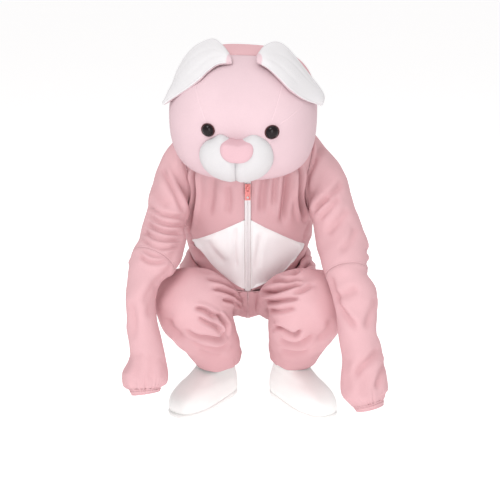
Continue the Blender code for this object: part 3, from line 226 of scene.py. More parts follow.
# Creases by piece and the side they face: half width, depth in mm, then x and y of points along them.
# Those facing the camera are in pixels of the 500 pixel picture, the rest in floor millimetres.
CREASES = {
    ("torso", "camera"): [
        (1.4, 11.6, 194.5, 166, 194.5, 200, 193.5, 214, 190.5, 228, 187, 238),
        (2.1, 5.1, 186, 165, 188, 190, 188, 214), (3.1, 8.4, 287, 165, 286.5, 190, 283, 216, 281, 228),
        (1.8, 11.6, 300, 164, 298.5, 188, 301, 206, 305, 226), (3.5, 4.5, 269, 168, 263, 190, 261, 218),
        (2.4, 3.2, 276, 168, 274.5, 190, 273, 208), (3.5, 2.6, 214, 176, 212, 196, 208, 220),
        (2.8, 2.6, 228, 184, 229, 205, 226, 218), (2.1, 2.1, 236, 226, 235, 250, 236, 272),
        (2.8, 2.3, 262, 232, 258, 252, 254, 274), (3.5, 2.3, 206, 240, 215, 254, 226, 266),
        (2.4, 4.5, 306, 236, 309, 250, 318, 262), (1.8, 5.1, 186, 244, 194, 250, 204, 262),
    ],
    ("sleeve_left", "camera"): [
        (1.9, 3.2, 146, 204, 158, 213, 172, 217, 187, 218),
        (1.9, 3, 146, 212, 156, 221, 170, 226, 186, 226),
        (1.9, 3.2, 144, 220, 154, 229, 168, 234, 185, 233),
        (1.9, 3, 142, 229, 152, 238, 166, 242, 184, 240),
        (1.9, 3.4, 141, 238, 151, 246, 166, 250, 182, 245),
        (2, 3.2, 139, 246, 150, 255, 164, 257, 180, 250),
        (2, 3.4, 136, 253, 148, 262, 162, 263, 178, 255),
        (2.4, 3.4, 160, 166, 168, 180, 177, 198, 186, 216), (4, 2.6, 152, 186, 160, 198, 172, 208),
        (3.6, 2.4, 176, 262, 164, 276, 150, 290, 142, 308), (4.5, 2.4, 160, 284, 152, 300, 150, 322),
        (4, 2.2, 130, 300, 134, 322, 132, 344), (4.8, 1.5, 131, 352, 127, 364, 124, 376),
        (4.8, 1.5, 140, 350, 138, 364, 136, 382), (4.8, 1.3, 150, 352, 152, 366, 151, 384),
        (3.6, 1.2, 160, 356, 164, 368, 162, 382),
    ],
    ("sleeve_right", "camera"): [
        (3, 3.8, 326, 140, 313, 164, 306, 182, 306, 198),
        (3, 3.8, 346, 180, 332, 194, 322, 204, 312, 214), (2.6, 3.2, 340, 196, 330, 208, 318, 222),
        (3.4, 2.8, 348, 208, 338, 222, 324, 236), (2.4, 3, 330, 198, 320, 206, 313, 216),
        (3.2, 2.5, 356, 226, 350, 242, 338, 254),
        (3, 4.2, 328, 274, 333, 290, 340, 308, 352, 324, 360, 334), (4, 3, 332, 298, 345, 296, 360, 288),
        (4, 3.2, 376, 296, 373, 312, 364, 332), (3.6, 3.8, 381, 348, 370, 360, 360, 370, 354, 382),
        (3, 3.8, 385, 360, 381, 374, 376, 392), (4.8, 1.5, 347, 356, 346, 376, 349, 398),
        (4.8, 1.6, 366, 372, 364, 386, 361, 400),
    ],
    ("leg_left", "camera"): [
        (1.9, 7.3, 206, 279, 220, 283, 232, 289, 244, 296),
        (1.6, 5.8, 211, 290, 224, 292, 236, 298, 248, 304), (1.6, 5, 222, 300, 234, 303, 246, 309),
        (2.1, 6.7, 194, 309, 205, 311, 213, 316, 220, 318),
        (1.8, 8.7, 218, 314, 223, 321, 227, 328, 225, 337),
        (1.8, 5.8, 197, 318, 208, 324, 218, 329, 223, 336),
        (1.9, 7.3, 184, 329, 194, 336, 208, 338, 221, 339, 229, 330),
        (2.4, 4.6, 190, 341, 204, 348, 220, 349, 231, 342), (2.4, 3.5, 196, 351, 210, 356, 224, 354),
        (3.2, 3.5, 168, 318, 172, 330, 184, 340),
    ],
    ("leg_right", "camera"): [
        (2.1, 10.3, 321, 261, 308, 265, 299, 270, 292, 277),
        (1.9, 7.3, 302, 278, 289, 283, 275, 282, 262, 286),
        (1.9, 8.7, 304, 285, 288, 289, 272, 293, 256, 293),
        (1.8, 6.2, 301, 299, 286, 301, 273, 303, 258, 302), (2.1, 4.4, 314, 284, 304, 291, 292, 295),
        (2.1, 4.1, 296, 309, 280, 312, 264, 310),
        (1.9, 9.5, 272, 327, 281, 329, 290, 334, 297, 335, 302, 330),
        (2.2, 5.3, 277, 339, 290, 344, 306, 342, 316, 336), (2.4, 4.4, 280, 349, 294, 354, 310, 351),
        (3.2, 3.5, 330, 318, 328, 332, 316, 344),
    ],
    ("torso", "back"): [
        (14.4, 3.6, -120, 700, -96, 650, -88, 590), (14.4, 3.6, 112, 704, 92, 655, 86, 600),
        (19.2, 2.4, -150, 560, -110, 540, -60, 535), (19.2, 2.4, 146, 556, 100, 538, 44, 530),
        (19.2, 3, -120, 470, -50, 452, 24, 450, 96, 466), (16, 2.4, -90, 430, -30, 420, 40, 424),
        (22.4, 1.8, -40, 740, -34, 690, -30, 640), (22.4, 1.8, 34, 742, 26, 690, 20, 640),
    ],
    ("torso", "left"): [
        (8, 5, 40, 540, 20, 500, 24, 450), (8, 4, 90, 560, 96, 510, 110, 450),
        (8, 4, -20, 540, -30, 500, -20, 450),
    ],
    ("torso", "right"): [
        (8, 5, 36, 544, 16, 500, 20, 452), (8, 4, 94, 560, 100, 506, 114, 446),
        (8, 4, -24, 540, -34, 500, -22, 446),
    ],
    ("leg_left", "left"): [
        (8, 6, -120, 300, -80, 318, -30, 330, 30, 330), (7, 5, -100, 280, -50, 290, 10, 290),
        (8, 4, -90, 250, -40, 262, 20, 256), (8, 4, -60, 210, -20, 216, 30, 206),
        (10, 4, 60, 400, 110, 370, 160, 330), (10, 4, 30, 370, 90, 330, 140, 290),
        (7, 3, -40, 170, 10, 172, 50, 162),
    ],
    ("leg_right", "right"): [
        (8, 6, -116, 304, -76, 320, -28, 334, 34, 328), (7, 5, -96, 284, -48, 292, 12, 292),
        (8, 4, -86, 252, -38, 264, 22, 254), (8, 4, -58, 212, -18, 218, 32, 204),
        (10, 4, 56, 404, 106, 372, 158, 334), (10, 4, 34, 372, 92, 334, 142, 292),
        (7, 3, -38, 168, 12, 170, 48, 160),
    ],
    ("leg_left", "back"): [
        (10, 5, -160, 340, -100, 320, -40, 330), (10, 4, -150, 290, -96, 270, -40, 276),
        (8, 3, -170, 190, -120, 180, -70, 186),
    ],
    ("leg_right", "back"): [
        (10, 5, 152, 342, 90, 322, 30, 332), (10, 4, 144, 292, 90, 272, 30, 278),
        (8, 3, 176, 190, 130, 180, 80, 186),
    ],
    ("sleeve_left", "left"): [
        (9.1, 2.2, -60, 640, -110, 600, -150, 560), (7.8, 2.2, -130, 500, -170, 500, -220, 524),
        (7.8, 2.2, -140, 480, -184, 478, -236, 498), (7.8, 2, -160, 462, -200, 456, -250, 470),
        (10.4, 1.7, -250, 420, -290, 370, -300, 320), (10.4, 1.7, -270, 330, -300, 280, -310, 240),
    ],
    ("sleeve_left", "back"): [
        (10.4, 2.2, -220, 620, -250, 580, -262, 540), (9.1, 2.2, -200, 520, -240, 500, -280, 506),
    ],
    ("sleeve_right", "right"): [
        (9.1, 2.2, -64, 640, -114, 598, -156, 556), (7.8, 2.2, -150, 500, -196, 496, -246, 520),
        (7.8, 2.2, -164, 476, -214, 470, -262, 490), (7.8, 2, -184, 452, -234, 446, -276, 460),
        (10.4, 1.7, -280, 400, -316, 350, -326, 300), (10.4, 1.7, -300, 310, -330, 260, -342, 220),
    ],
    ("sleeve_right", "back"): [
        (10.4, 2.2, 212, 622, 242, 580, 256, 540), (9.1, 2.2, 196, 516, 238, 496, 278, 500),
    ],
}

# Point inside the body that its panels face away from
TORSO_CORE = (MIDLINE, 30.0, 560.0)
# Metres: how far creases stay off seams, depth and width of the line of stitches, and sleeves and legs likewise
PANEL_FLAT, SLEEVE_FLAT, LEG_FLAT = 0.016, 0.018, 0.020
PANEL_STITCH, SLEEVE_STITCH, LEG_STITCH, STITCH_WIDTH = 0.0005, 0.0006, 0.0012, 0.0022
# Gathers in metres: height and reach up the cloth from the cuff and from the trouser hem
CUFF_GATHER, CUFF_REACH, HEM_GATHER, HEM_REACH = 0.0022, 0.032, 0.0016, 0.03
CUFF_POINTS, CUFF_ROWS, CUFF_WALL, CUFF_EASE = 288, 25, 0.0020, 1.12
HEM_SEAM, SEAM_LINE = 0.012, 0.0045
# Painted shade low on the shins: its amount, and where it starts and is full, in mm over the floor
SHIN_SHADE, SHIN_TOP, SHIN_LOW = 0.6, 270.0, 150.0
TAPE_BACK, TAPE_WALL = 0.0004, 0.0011
FORWARD = (0.0, -1.0, 0.0)

# How a crease fades with the way its cloth faces and at its ends, its banks beside the trough, and its shadow
CREASE_SHOWN, HIDDEN_CREASE_SHOWN, CREASE_ENDS = (0.05, 0.35), (0.35, 0.7), (0.18, 0.78)
BANK_AWAY, BANK_WIDTH, BANK_HEIGHT = 2.1, 1.3, 0.42
FOLD_WIDTH, DARK_FOLD = 1.25, 5.0

# Slow sways of hanging cloth: amount in mm, cycles per metre along x, y, z, start
SWAYS = [
    (0.9, 5.1, 2.2, 6.3, 0.4), (0.7, -3.4, 6.8, 4.1, 2.1), (0.6, 8.3, -4.7, 2.9, 4.0),
    (0.5, 2.7, 9.4, -6.6, 1.2), (0.35, 13.0, 6.1, 9.7, 5.3), (0.3, -9.2, 14.0, 7.5, 3.3),
]


def place(points):
    """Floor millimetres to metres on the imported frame."""
    return np.asarray(points, float) * MM - HOLD


def unit(vectors):
    length = np.linalg.norm(vectors, axis=-1, keepdims=True)
    return vectors / np.maximum(length, 1e-9)


def spline(rows, t, closed=False):
    """Smooth values of a table's columns at row number t."""
    rows = np.asarray(rows, float)
    count = len(rows)
    t = np.asarray(t, float)
    if closed:
        i = np.floor(t).astype(int)
        picks = [(i + k) % count for k in (-1, 0, 1, 2)]
    else:
        t = np.clip(t, 0.0, count - 1)
        i = np.minimum(t.astype(int), count - 2)
        picks = [np.clip(i + k, 0, count - 1) for k in (-1, 0, 1, 2)]
    f = (t - i)[..., None]
    a, b, c, d = [rows[p] for p in picks]
    return 0.5 * (2 * b + (c - a) * f + (2 * a - 5 * b + 4 * c - d) * f**2
                  + (3 * b - a - 3 * c + d) * f**3)


def table_curve(rows, count):
    """Count smooth rows along a table."""
    return spline(rows, np.linspace(0, len(rows) - 1, count))


def outline(table, angle):
    """Reach at an angle in degrees, from a table of reaches evenly spaced all round."""
    column = np.array(table, float)[:, None]
    return spline(column, np.asarray(angle, float) / (360.0 / len(table)), True)[..., 0]


def signed_power(value, power):
    return np.sign(value) * np.abs(value) ** power


def signed_area(ring):
    """Floor area of a ring, positive when it runs anticlockwise from above."""
    x, y = ring[:, 0], ring[:, 1]
    return 0.5 * float(np.sum(x * np.roll(y, -1) - np.roll(x, -1) * y))


def foot_ring(x, y, toes_out, side, row, inset=0.0):
    """Foot outline at one height."""
    z, heel, toe, ball, back = row
    angle = turns(BOOT_POINTS)
    cos, sin = np.cos(angle), np.sin(angle)
    ahead = np.where(cos > 0, toe - inset, heel - inset) * signed_power(cos, BOOT_END)
    widest = np.minimum(1.0, np.clip(ahead / toe, 0, 1) * BOOT_WIDENS)
    wide = (back + (ball - back) * widest - inset) * signed_power(sin, BOOT_SIDE)
    turn = math.radians(toes_out)
    forward = np.array([side * math.sin(turn), -math.cos(turn)])
    across = np.array([side * math.cos(turn), math.sin(turn)])
    plan = np.array([x, y]) + np.outer(ahead, forward) + np.outer(wide, across)
    return np.column_stack([plan, np.full(BOOT_POINTS, float(z))])


def finer(grid, down, across, ring):
    """A grid with smooth points added between its rows and columns."""
    rows, cols = grid.shape[:2]
    tall = spline(grid.reshape(rows, -1), np.linspace(0, rows - 1, (rows - 1) * down + 1))
    tall = tall.reshape(-1, cols, 3).transpose(1, 0, 2)
    steps = np.arange(cols * across) / across if ring else np.linspace(0, cols - 1, (cols - 1) * across + 1)
    wide = spline(tall.reshape(cols, -1), steps, ring)
    return wide.reshape(len(steps), -1, 3).transpose(1, 0, 2)


def grid_normals(grid, ring):
    along = np.gradient(grid, axis=0)
    if ring:
        across = np.roll(grid, -1, axis=1) - np.roll(grid, 1, axis=1)
    else:
        across = np.gradient(grid, axis=1)
    return unit(np.cross(across, along))


def normals_towards(grid, ring, away):
    """Unit normals of a grid, on the side that away points to."""
    normals = grid_normals(grid, ring)
    return -normals if np.sum(normals * away) < 0 else normals


def turns(count):
    """Angles all round a ring of count points."""
    return np.arange(count) * 2 * math.pi / count


def bell(distance, width):
    """One at no distance, fading past the width."""
    return np.exp(-((distance / width) ** 2))


def smooth_step(value, low, high):
    t = np.clip((value - low) / (high - low), 0, 1)
    return t * t * (3 - 2 * t)


# Pattern forms.


def torso(angle, row):
    """Points of the body's form at angles from the front and rows from the hips."""
    angle = np.radians(np.asarray(angle, float))
    fy, fz, by, bz, width, lift = np.moveaxis(spline(TORSO, np.asarray(row, float)), -1, 0)
    cos, sin = np.cos(angle), np.sin(angle)
    power = 2.0 / TORSO_ROUND
    deep, wide = signed_power(cos, power), signed_power(sin, power)
    x = MIDLINE + width * wide
    y = (fy + by) / 2 + (fy - by) / 2 * deep
    z = (fz + bz) / 2 + (fz - bz) / 2 * deep + lift * sin**2
    return np.stack([x, y, z], axis=-1)


def torso_normals(angle, row):
    angle, row = np.asarray(angle, float), np.asarray(row, float)
    across = torso(angle + 1.5, row) - torso(angle - 1.5, row)
    upward = torso(angle, row + 0.05) - torso(angle, row - 0.05)
    return unit(np.cross(across, upward))


def angle_at(distance, row):
    """Angle at which the body is a distance from its middle line."""
    width = spline(TORSO, row)[..., 4]
    share = np.clip(np.asarray(distance, float) / width, 0, 1)
    return np.degrees(np.arcsin(share ** (TORSO_ROUND / 2.0)))


def outer_edge(armhole, fine):
    """Edge of a panel at the shoulder, armhole and side, as angle and row."""
    tops = SHOULDER_ROWS * fine
    shoulder = [(90.0, TORSO_TOP + (armhole[0][1] - TORSO_TOP) * k / tops) for k in range(tops)]
    arm = table_curve(armhole, ARMHOLE_ROWS * fine + 1)
    low = SIDE_ROWS * fine
    side = [(90.0, armhole[-1][1] * (1 - k / low)) for k in range(1, low + 1)]
    return np.concatenate([np.array(shoulder), arm, np.array(side)])


def front_inner_edge(belly, fine):
    """Edge of a front panel along the zip and round the belly piece, as angle and row."""
    rows = (SHOULDER_ROWS + ARMHOLE_ROWS + SIDE_ROWS) * fine + 1
    first = BELLY_FIRST_ROW * fine
    zip_rows = np.linspace(TORSO_TOP, belly[0][0], first + 1)[:-1]
    edge = [(float(angle_at(ZIP_EDGE, t)), t) for t in zip_rows]
    around = table_curve(belly, rows - fine - first)
    edge += [(float(angle_at(d, t)), t) for t, d in around]
    last = edge[-1]
    for k in range(1, fine + 1):
        t = last[1] * (1 - k / fine)
        edge.append((float(angle_at(ZIP_EDGE + (12 - ZIP_EDGE) * (1 - k / fine), t)), t))
    return np.array(edge)


def armhole_ring(sign, fine):
    """First ring of a sleeve at its armhole, and the ring just outside it."""
    front = table_curve(ARMHOLE_FRONT, ARMHOLE_ROWS * fine + 1)
    back = table_curve(ARMHOLE_BACK, ARMHOLE_ROWS * fine + 1)[-2:0:-1]
    param = np.concatenate([front, back])
    angle, row = sign * param[:, 0], param[:, 1]
    points = torso(angle, row)
    normals = torso_normals(angle, row)
    inward = unit(points.mean(axis=0) - points)
    first = points + inward * SEAM * 0.75 + normals * SEAM / 4
    return first, first + normals * ARMHOLE_LIP + inward * ARMHOLE_LIP_INWARD


def settle_sleeve(rings):
    """Smooths the rings of a sleeve near the body and keeps them clear of it."""
    angle, row = np.meshgrid(np.arange(0.0, 360.0, 3.0), np.arange(0.0, TORSO_TOP, 0.1), indexing="ij")
    surface = torso(angle, row).reshape(-1, 3)
    normals = torso_normals(angle, row).reshape(-1, 3)
    rings = rings.copy()
    for _ in range(SETTLE_TURNS):
        for r in range(1, len(rings) - 1):
            for c in range(rings.shape[1]):
                point = rings[r, c]
                near = np.argmin(np.sum((surface - point) ** 2, axis=1))
                height = np.dot(point - surface[near], normals[near])
                share = 0.5 * np.clip(1 - height / SETTLE_REACH, 0, 1)
                beside = rings[r, c - 1] + rings[r, (c + 1) % rings.shape[1]]
                middle = (beside + rings[r - 1, c] + rings[r + 1, c]) / 4
                point = point * (1 - share) + middle * share
                height = np.dot(point - surface[near], normals[near])
                rings[r, c] = point + normals[near] * max(0.0, SLEEVE_CLEAR - height)
    return rings


def path_rings(rows, side, before):
    """Rings of a sleeve along its path, turned to face as the arm does."""
    rows = np.asarray(rows, float)
    centres = rows[:, :3]
    padded = np.concatenate([[before], centres, [2 * centres[-1] - centres[-2]]])
    tangents = unit(padded[2:] - padded[:-2])
    angle = np.arange(2 * ARMHOLE_ROWS) * math.pi / ARMHOLE_ROWS
    for k, (outwards, y, z) in enumerate(SLEEVE_AIM):
        tangents[k] = unit(np.array([side * outwards, y, z]))
    rings = []
    for k, (centre, tangent, row) in enumerate(zip(centres, tangents, rows)):
        outwards, upwards = SLEEVE_FACING[min(k, len(SLEEVE_FACING) - 1)]
        out = np.array([side * outwards, 0.0, upwards])
        out = unit(out - tangent * np.dot(out, tangent))
        front = np.cross(out, tangent) * -side
        turned = angle + math.radians(SLEEVE_PHASE[min(k, len(SLEEVE_PHASE) - 1)])
        ring = centre + np.outer(np.cos(turned) * row[3], out) + np.outer(np.sin(turned) * row[4], front)
        rings.append(ring)
    return np.array(rings)


def fill_rings(rings, count):
    """Rings spread evenly along the same path."""
    return table_curve(rings.reshape(len(rings), -1), count).reshape(count, -1, 3)


def hip_angles(fine):
    front = np.linspace(float(angle_at(ZIP_EDGE, 0.0)), 90.0, (FRONT_COLUMNS - 1) * fine + 1)
    back = np.linspace(90.0, 180.0, BACK_COLUMNS // 2 * fine + 1)[1:]
    start = np.linspace(0.0, front[0], fine + 1)[:-1]
    return np.concatenate([start, front, back])


def leg_rings(side, hip_x, hip_y, heading, hem_shift, fine):
    """Rings of a trouser leg from the hip and crotch seams to the hem."""
    around = hip_angles(fine)
    hip = torso(side * around, np.zeros(len(around))) - np.array([0, 0, SEAM])
    seat_steps = (CROTCH_POINTS + 1) * fine + 1
    seam = table_curve(CROTCH, seat_steps)[1:-1]
    crotch = np.column_stack([np.full(len(seam), MIDLINE), seam])
    angles = LEG_FIRST_ANGLE + around * (LEG_BACK_ANGLE - LEG_FIRST_ANGLE) / 180.0
    under = np.linspace(LEG_BACK_ANGLE, 360 + LEG_FIRST_ANGLE, seat_steps)[1:-1]
    angles = np.concatenate([angles, under])
    seat = spline(SEAT, (angles - LEG_FIRST_ANGLE) / 40.0, closed=True)
    seat[:, 0] = MIDLINE + side * seat[:, 0]
    forward = np.array([side * math.sin(math.radians(heading)), -math.cos(math.radians(heading)), 0])
    across = np.array([side * math.cos(math.radians(heading)), math.sin(math.radians(heading)), 0])
    rings = [np.concatenate([hip, crotch]), seat]
    turn = np.radians(angles)
    for k, (s_in, z_in, s_out, z_out, half, shift) in enumerate(LEG_RINGS):
        more = hem_shift * (k / (len(LEG_RINGS) - 1)) ** 2
        base = np.array([hip_x, hip_y, 0.0]) + across * (shift + more)
        low = base + forward * s_in + np.array([0, 0, z_in])
        high = base + forward * s_out + np.array([0, 0, z_out])
        ring = (low + high) / 2 + np.outer(np.cos(turn), (high - low) / 2)
        rings.append(ring + np.outer(np.sin(turn) * half, across))
    rings = np.array(rings)
    for _ in range(SEAT_TURNS):
        for r in (1, 2):
            beside = np.roll(rings[r], fine, axis=0) + np.roll(rings[r], -fine, axis=0)
            rings[r] = (rings[r] + (beside + rings[r - 1] + rings[r + 1]) / 4) / 2
    return rings


def keep_side(points, side, distance):
    """Keeps points on their own side of the middle line."""
    reach = (points[..., 0] - MIDLINE) * side
    points[..., 0] = MIDLINE + side * np.maximum(reach, distance)


def head_axes():
    tilt, turn, roll = [math.radians(a) for a in (HEAD_TILT, HEAD_TURN, HEAD_ROLL)]
    about_x = np.array([[1, 0, 0], [0, math.cos(tilt), -math.sin(tilt)], [0, math.sin(tilt), math.cos(tilt)]])
    about_z = np.array([[math.cos(turn), -math.sin(turn), 0], [math.sin(turn), math.cos(turn), 0], [0, 0, 1]])
    about_y = np.array([[math.cos(roll), 0, math.sin(roll)], [0, 1, 0], [-math.sin(roll), 0, math.cos(roll)]])
    return about_z @ about_x @ about_y


def to_head(points):
    return np.asarray(points) @ head_axes().T + np.array(HEAD_CENTRE)


def head_halves(points):
    """Half sizes of the mask's form on the sides that points lie."""
    back = np.where(points[..., 1] > 0, HEAD_BACK, HEAD_FRONT)
    up = np.where(points[..., 2] > 0, HEAD_UP, HEAD_DOWN)
    return np.stack([np.full(back.shape, HEAD_WIDTH), back, up], axis=-1)


def on_head(directions):
    """Where directions from its middle leave the mask's form."""
    size = (np.abs(directions / head_halves(directions)) ** HEAD_ROUND).sum(axis=-1, keepdims=True)
    return directions / size ** (1.0 / HEAD_ROUND)


def head_normals(points):
    halves = head_halves(points)
    return unit(signed_power(points, HEAD_ROUND - 1) / halves**HEAD_ROUND)


def face_point(x, z):
    """Point of the mask's face at a place across and up."""
    x, z = np.asarray(x, float), np.asarray(z, float)
    up = np.where(z > 0, HEAD_UP, HEAD_DOWN)
    left = 1 - np.abs(x / HEAD_WIDTH) ** HEAD_ROUND - np.abs(z / up) ** HEAD_ROUND
    y = -HEAD_FRONT * np.maximum(left, 1e-6) ** (1.0 / HEAD_ROUND)
    return np.stack([x, y, z], axis=-1)


def arc_between(start, end, share):
    cos = np.clip(np.sum(start * end, axis=-1, keepdims=True), -1, 1)
    angle = np.arccos(cos)
    return (np.sin((1 - share) * angle) * start + np.sin(share * angle) * end) / np.sin(angle)


def opening_point(turn):
    """Point of the rim of the mask's opening, at a turn from the front."""
    direction = np.array([math.sin(math.radians(turn)), -math.cos(math.radians(turn)), 0.0])
    depth = HEAD_FRONT if direction[1] < 0 else HEAD_BACK
    reach = (np.abs(direction / np.array([HEAD_WIDTH, depth, 1.0])) ** HEAD_ROUND).sum()
    height = float(outline(HEAD_OPENING, turn % 360))
    left = 1 - abs(height / HEAD_DOWN) ** HEAD_ROUND
    point = direction * (left / reach) ** (1.0 / HEAD_ROUND)
    point[2] = height
    return point


def head_discs(fine):
    """Outer grids of the mask's face and back, from their rims to their middles."""
    start = opening_point(-90.0)
    first = math.atan2(-start[2], -start[0])
    seam_count, rim_count = SEAM_POINTS * fine, RIM_POINTS * fine
    along = np.linspace(-first, math.pi + first, seam_count + 1)
    seam = on_head(np.array([[-math.cos(a), HEAD_SEAM_Y / HEAD_UP, math.sin(a)] for a in along]))
    left_corner = math.degrees(math.atan2(seam[0][0], -seam[0][1]))
    right_corner = math.degrees(math.atan2(seam[-1][0], -seam[-1][1]))
    seam[0] = opening_point(left_corner)
    seam[-1] = opening_point(right_corner)
    front_rim = [opening_point(a) for a in np.linspace(right_corner, left_corner, rim_count + 1)[1:-1]]
    back_rim = [opening_point(a) for a in np.linspace(right_corner, 360 + left_corner, rim_count + 1)[1:-1]]
    discs = {}
    for name, rim, pole, rings in (("head_face", front_rim, -1, FACE_RINGS * fine),
                                   ("head_back", back_rim, 1, BACK_RINGS * fine)):
        level = FACE_MIDDLE if pole < 0 else BACK_MIDDLE
        edge = unit(np.concatenate([seam, np.array(rim)]))
        middle = unit(np.tile(np.array([0.0, float(pole), level]), (len(edge), 1)))
        rows = [on_head(edge)]
        rows[0][:seam_count + 1, 1] += SEAM / 2 * pole
        for k in range(1, rings):
            rows.append(on_head(arc_between(edge, middle, k / rings)))
        rows.append(on_head(middle))
        discs[name] = np.array(rows)
    return discs


def muzzle_dome(x, z):
    """Height of the stuffed muzzle over the face, before its valley."""
    dx, dz = x - MUZZLE_CENTRE[0], z - MUZZLE_CENTRE[1]
    reach = np.hypot(dx, dz)
    share = np.clip(reach / outline(MUZZLE, np.degrees(np.arctan2(dz, dx)) % 360), 0, 1)
    return MUZZLE_HEIGHT * (1 - share**MUZZLE_FLATNESS) ** MUZZLE_EDGE


def muzzle_rise(x, z):
    """Height of the muzzle over the face, with the shallow valley down its middle."""
    valley = bell(x - MUZZLE_CENTRE[0], MUZZLE_VALLEY_WIDTH)
    return muzzle_dome(x, z) * (1 - MUZZLE_VALLEY * valley)


# Creases.


def camera_place():
    """Where the camera is, with its forward and up directions."""
    down = math.radians(CAMERA_DOWN)
    forward = np.array([0.0, math.cos(down), -math.sin(down)])
    up = np.array([0.0, math.sin(down), math.cos(down)])
    eye = np.array(CAMERA_AIM) - forward * CAMERA_AWAY
    return eye, forward, up


def in_picture(points):
    """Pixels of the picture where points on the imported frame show."""
    eye, forward, up = camera_place()
    scale = PICTURE / 2 * CAMERA_AWAY / CAMERA_HALF_VIEW
    seen = points - eye
    depth = seen @ forward
    return np.stack([PICTURE / 2 + seen[..., 0] / depth * scale, PICTURE / 2 - seen @ up / depth * scale], -1)


def from_line(flat, line):
    """Distance to a bent line and the share of the way along it."""
    line = np.asarray(line, float)
    lengths = np.linalg.norm(np.diff(line, axis=0), axis=1)
    total, done = lengths.sum(), 0.0
    best = np.full(flat.shape[:-1], 1e9)
    share = np.zeros(flat.shape[:-1])
    for start, end, length in zip(line[:-1], line[1:], lengths):
        t = np.clip(((flat - start) @ (end - start)) / max(length**2, 1e-9), 0, 1)
        gap = np.linalg.norm(flat - start - t[..., None] * (end - start), axis=-1)
        near = gap < best
        best = np.where(near, gap, best)
        share = np.where(near, (done + t * length) / total, share)
        done += length
    return best, share


def beside_line(flat, line, way):
    """Signed distance to one side of a straight line, growing past its ends."""
    start, end = [np.array(p, float) for p in line]
    along = unit(end - start)
    side = np.array([-along[1], along[0]]) * way
    offset = flat - start
    run = offset @ along
    past = np.maximum(0, np.maximum(-run, run - np.linalg.norm(end - start)))
    gap = offset @ side
    return np.where(gap < 0, gap - past, gap + past)


def relief(points, normals, piece, strength):
    """Height in metres that creases and sways add to a piece of cloth, and the share of painted shadow in their
    troughs.
    """
    eye = camera_place()[0]
    floor_mm = (points + HOLD) / MM
    pixels = in_picture(points)
    views = {
        "camera": (pixels, np.sum(normals * unit(eye - points), axis=-1)),
        "back": (floor_mm[..., [0, 2]], normals[..., 1]),
        "left": (floor_mm[..., [1, 2]], -normals[..., 0]),
        "right": (floor_mm[..., [1, 2]], normals[..., 0]),
    }
    height = np.zeros(points.shape[:-1])
    painted_shade = np.zeros(points.shape[:-1])
    for (name, view), rows in CREASES.items():
        if name != piece:
            continue
        flat, facing = views[view]
        shown = smooth_step(facing, *(CREASE_SHOWN if view == "camera" else HIDDEN_CREASE_SHOWN))
        for width, depth, *spots in rows:
            line = np.reshape(spots, (-1, 2))
            gap, share = from_line(flat, table_curve(line, 3 * len(line)))
            ends = smooth_step(share, 0.0, CREASE_ENDS[0]) * (1 - smooth_step(share, CREASE_ENDS[1], 1.0))
            there = ends * shown
            banks = bell(gap - BANK_AWAY * width, BANK_WIDTH * width)
            height += (BANK_HEIGHT * banks - bell(gap, width)) * depth * there
            painted_shade += bell(gap, FOLD_WIDTH * width) * there * min(depth / DARK_FOLD, 1.0)
    for amount, x, y, z, start in SWAYS:
        height += amount * np.sin(2 * math.pi * (points @ np.array([x, y, z])) + start)
    return height * MM * strength, np.clip(painted_shade, 0, 1)


# Making meshes.


def new_mesh(name, points, faces, uvs=None, values=None):
    """A mesh object, facing outwards, with a corner UV map and named point values."""
    mesh = bpy.data.meshes.new(name)
    mesh.from_pydata([tuple(p) for p in points], [], faces)
    mesh.update()
    if uvs is not None:
        layer = mesh.uv_layers.new(name="cloth")
        corner = np.empty(len(mesh.loops), np.int32)
        mesh.loops.foreach_get("vertex_index", corner)
        layer.data.foreach_set("uv", uvs[corner].astype(np.float32).ravel())
    for key, value in (values or {}).items():
        layer = mesh.attributes.new(key, "FLOAT", "POINT")
        layer.data.foreach_set("value", value.astype(np.float32).ravel())
    mesh.shade_smooth()
    obj = bpy.data.objects.new(name, mesh)
    bpy.context.scene.collection.objects.link(obj)
    return obj


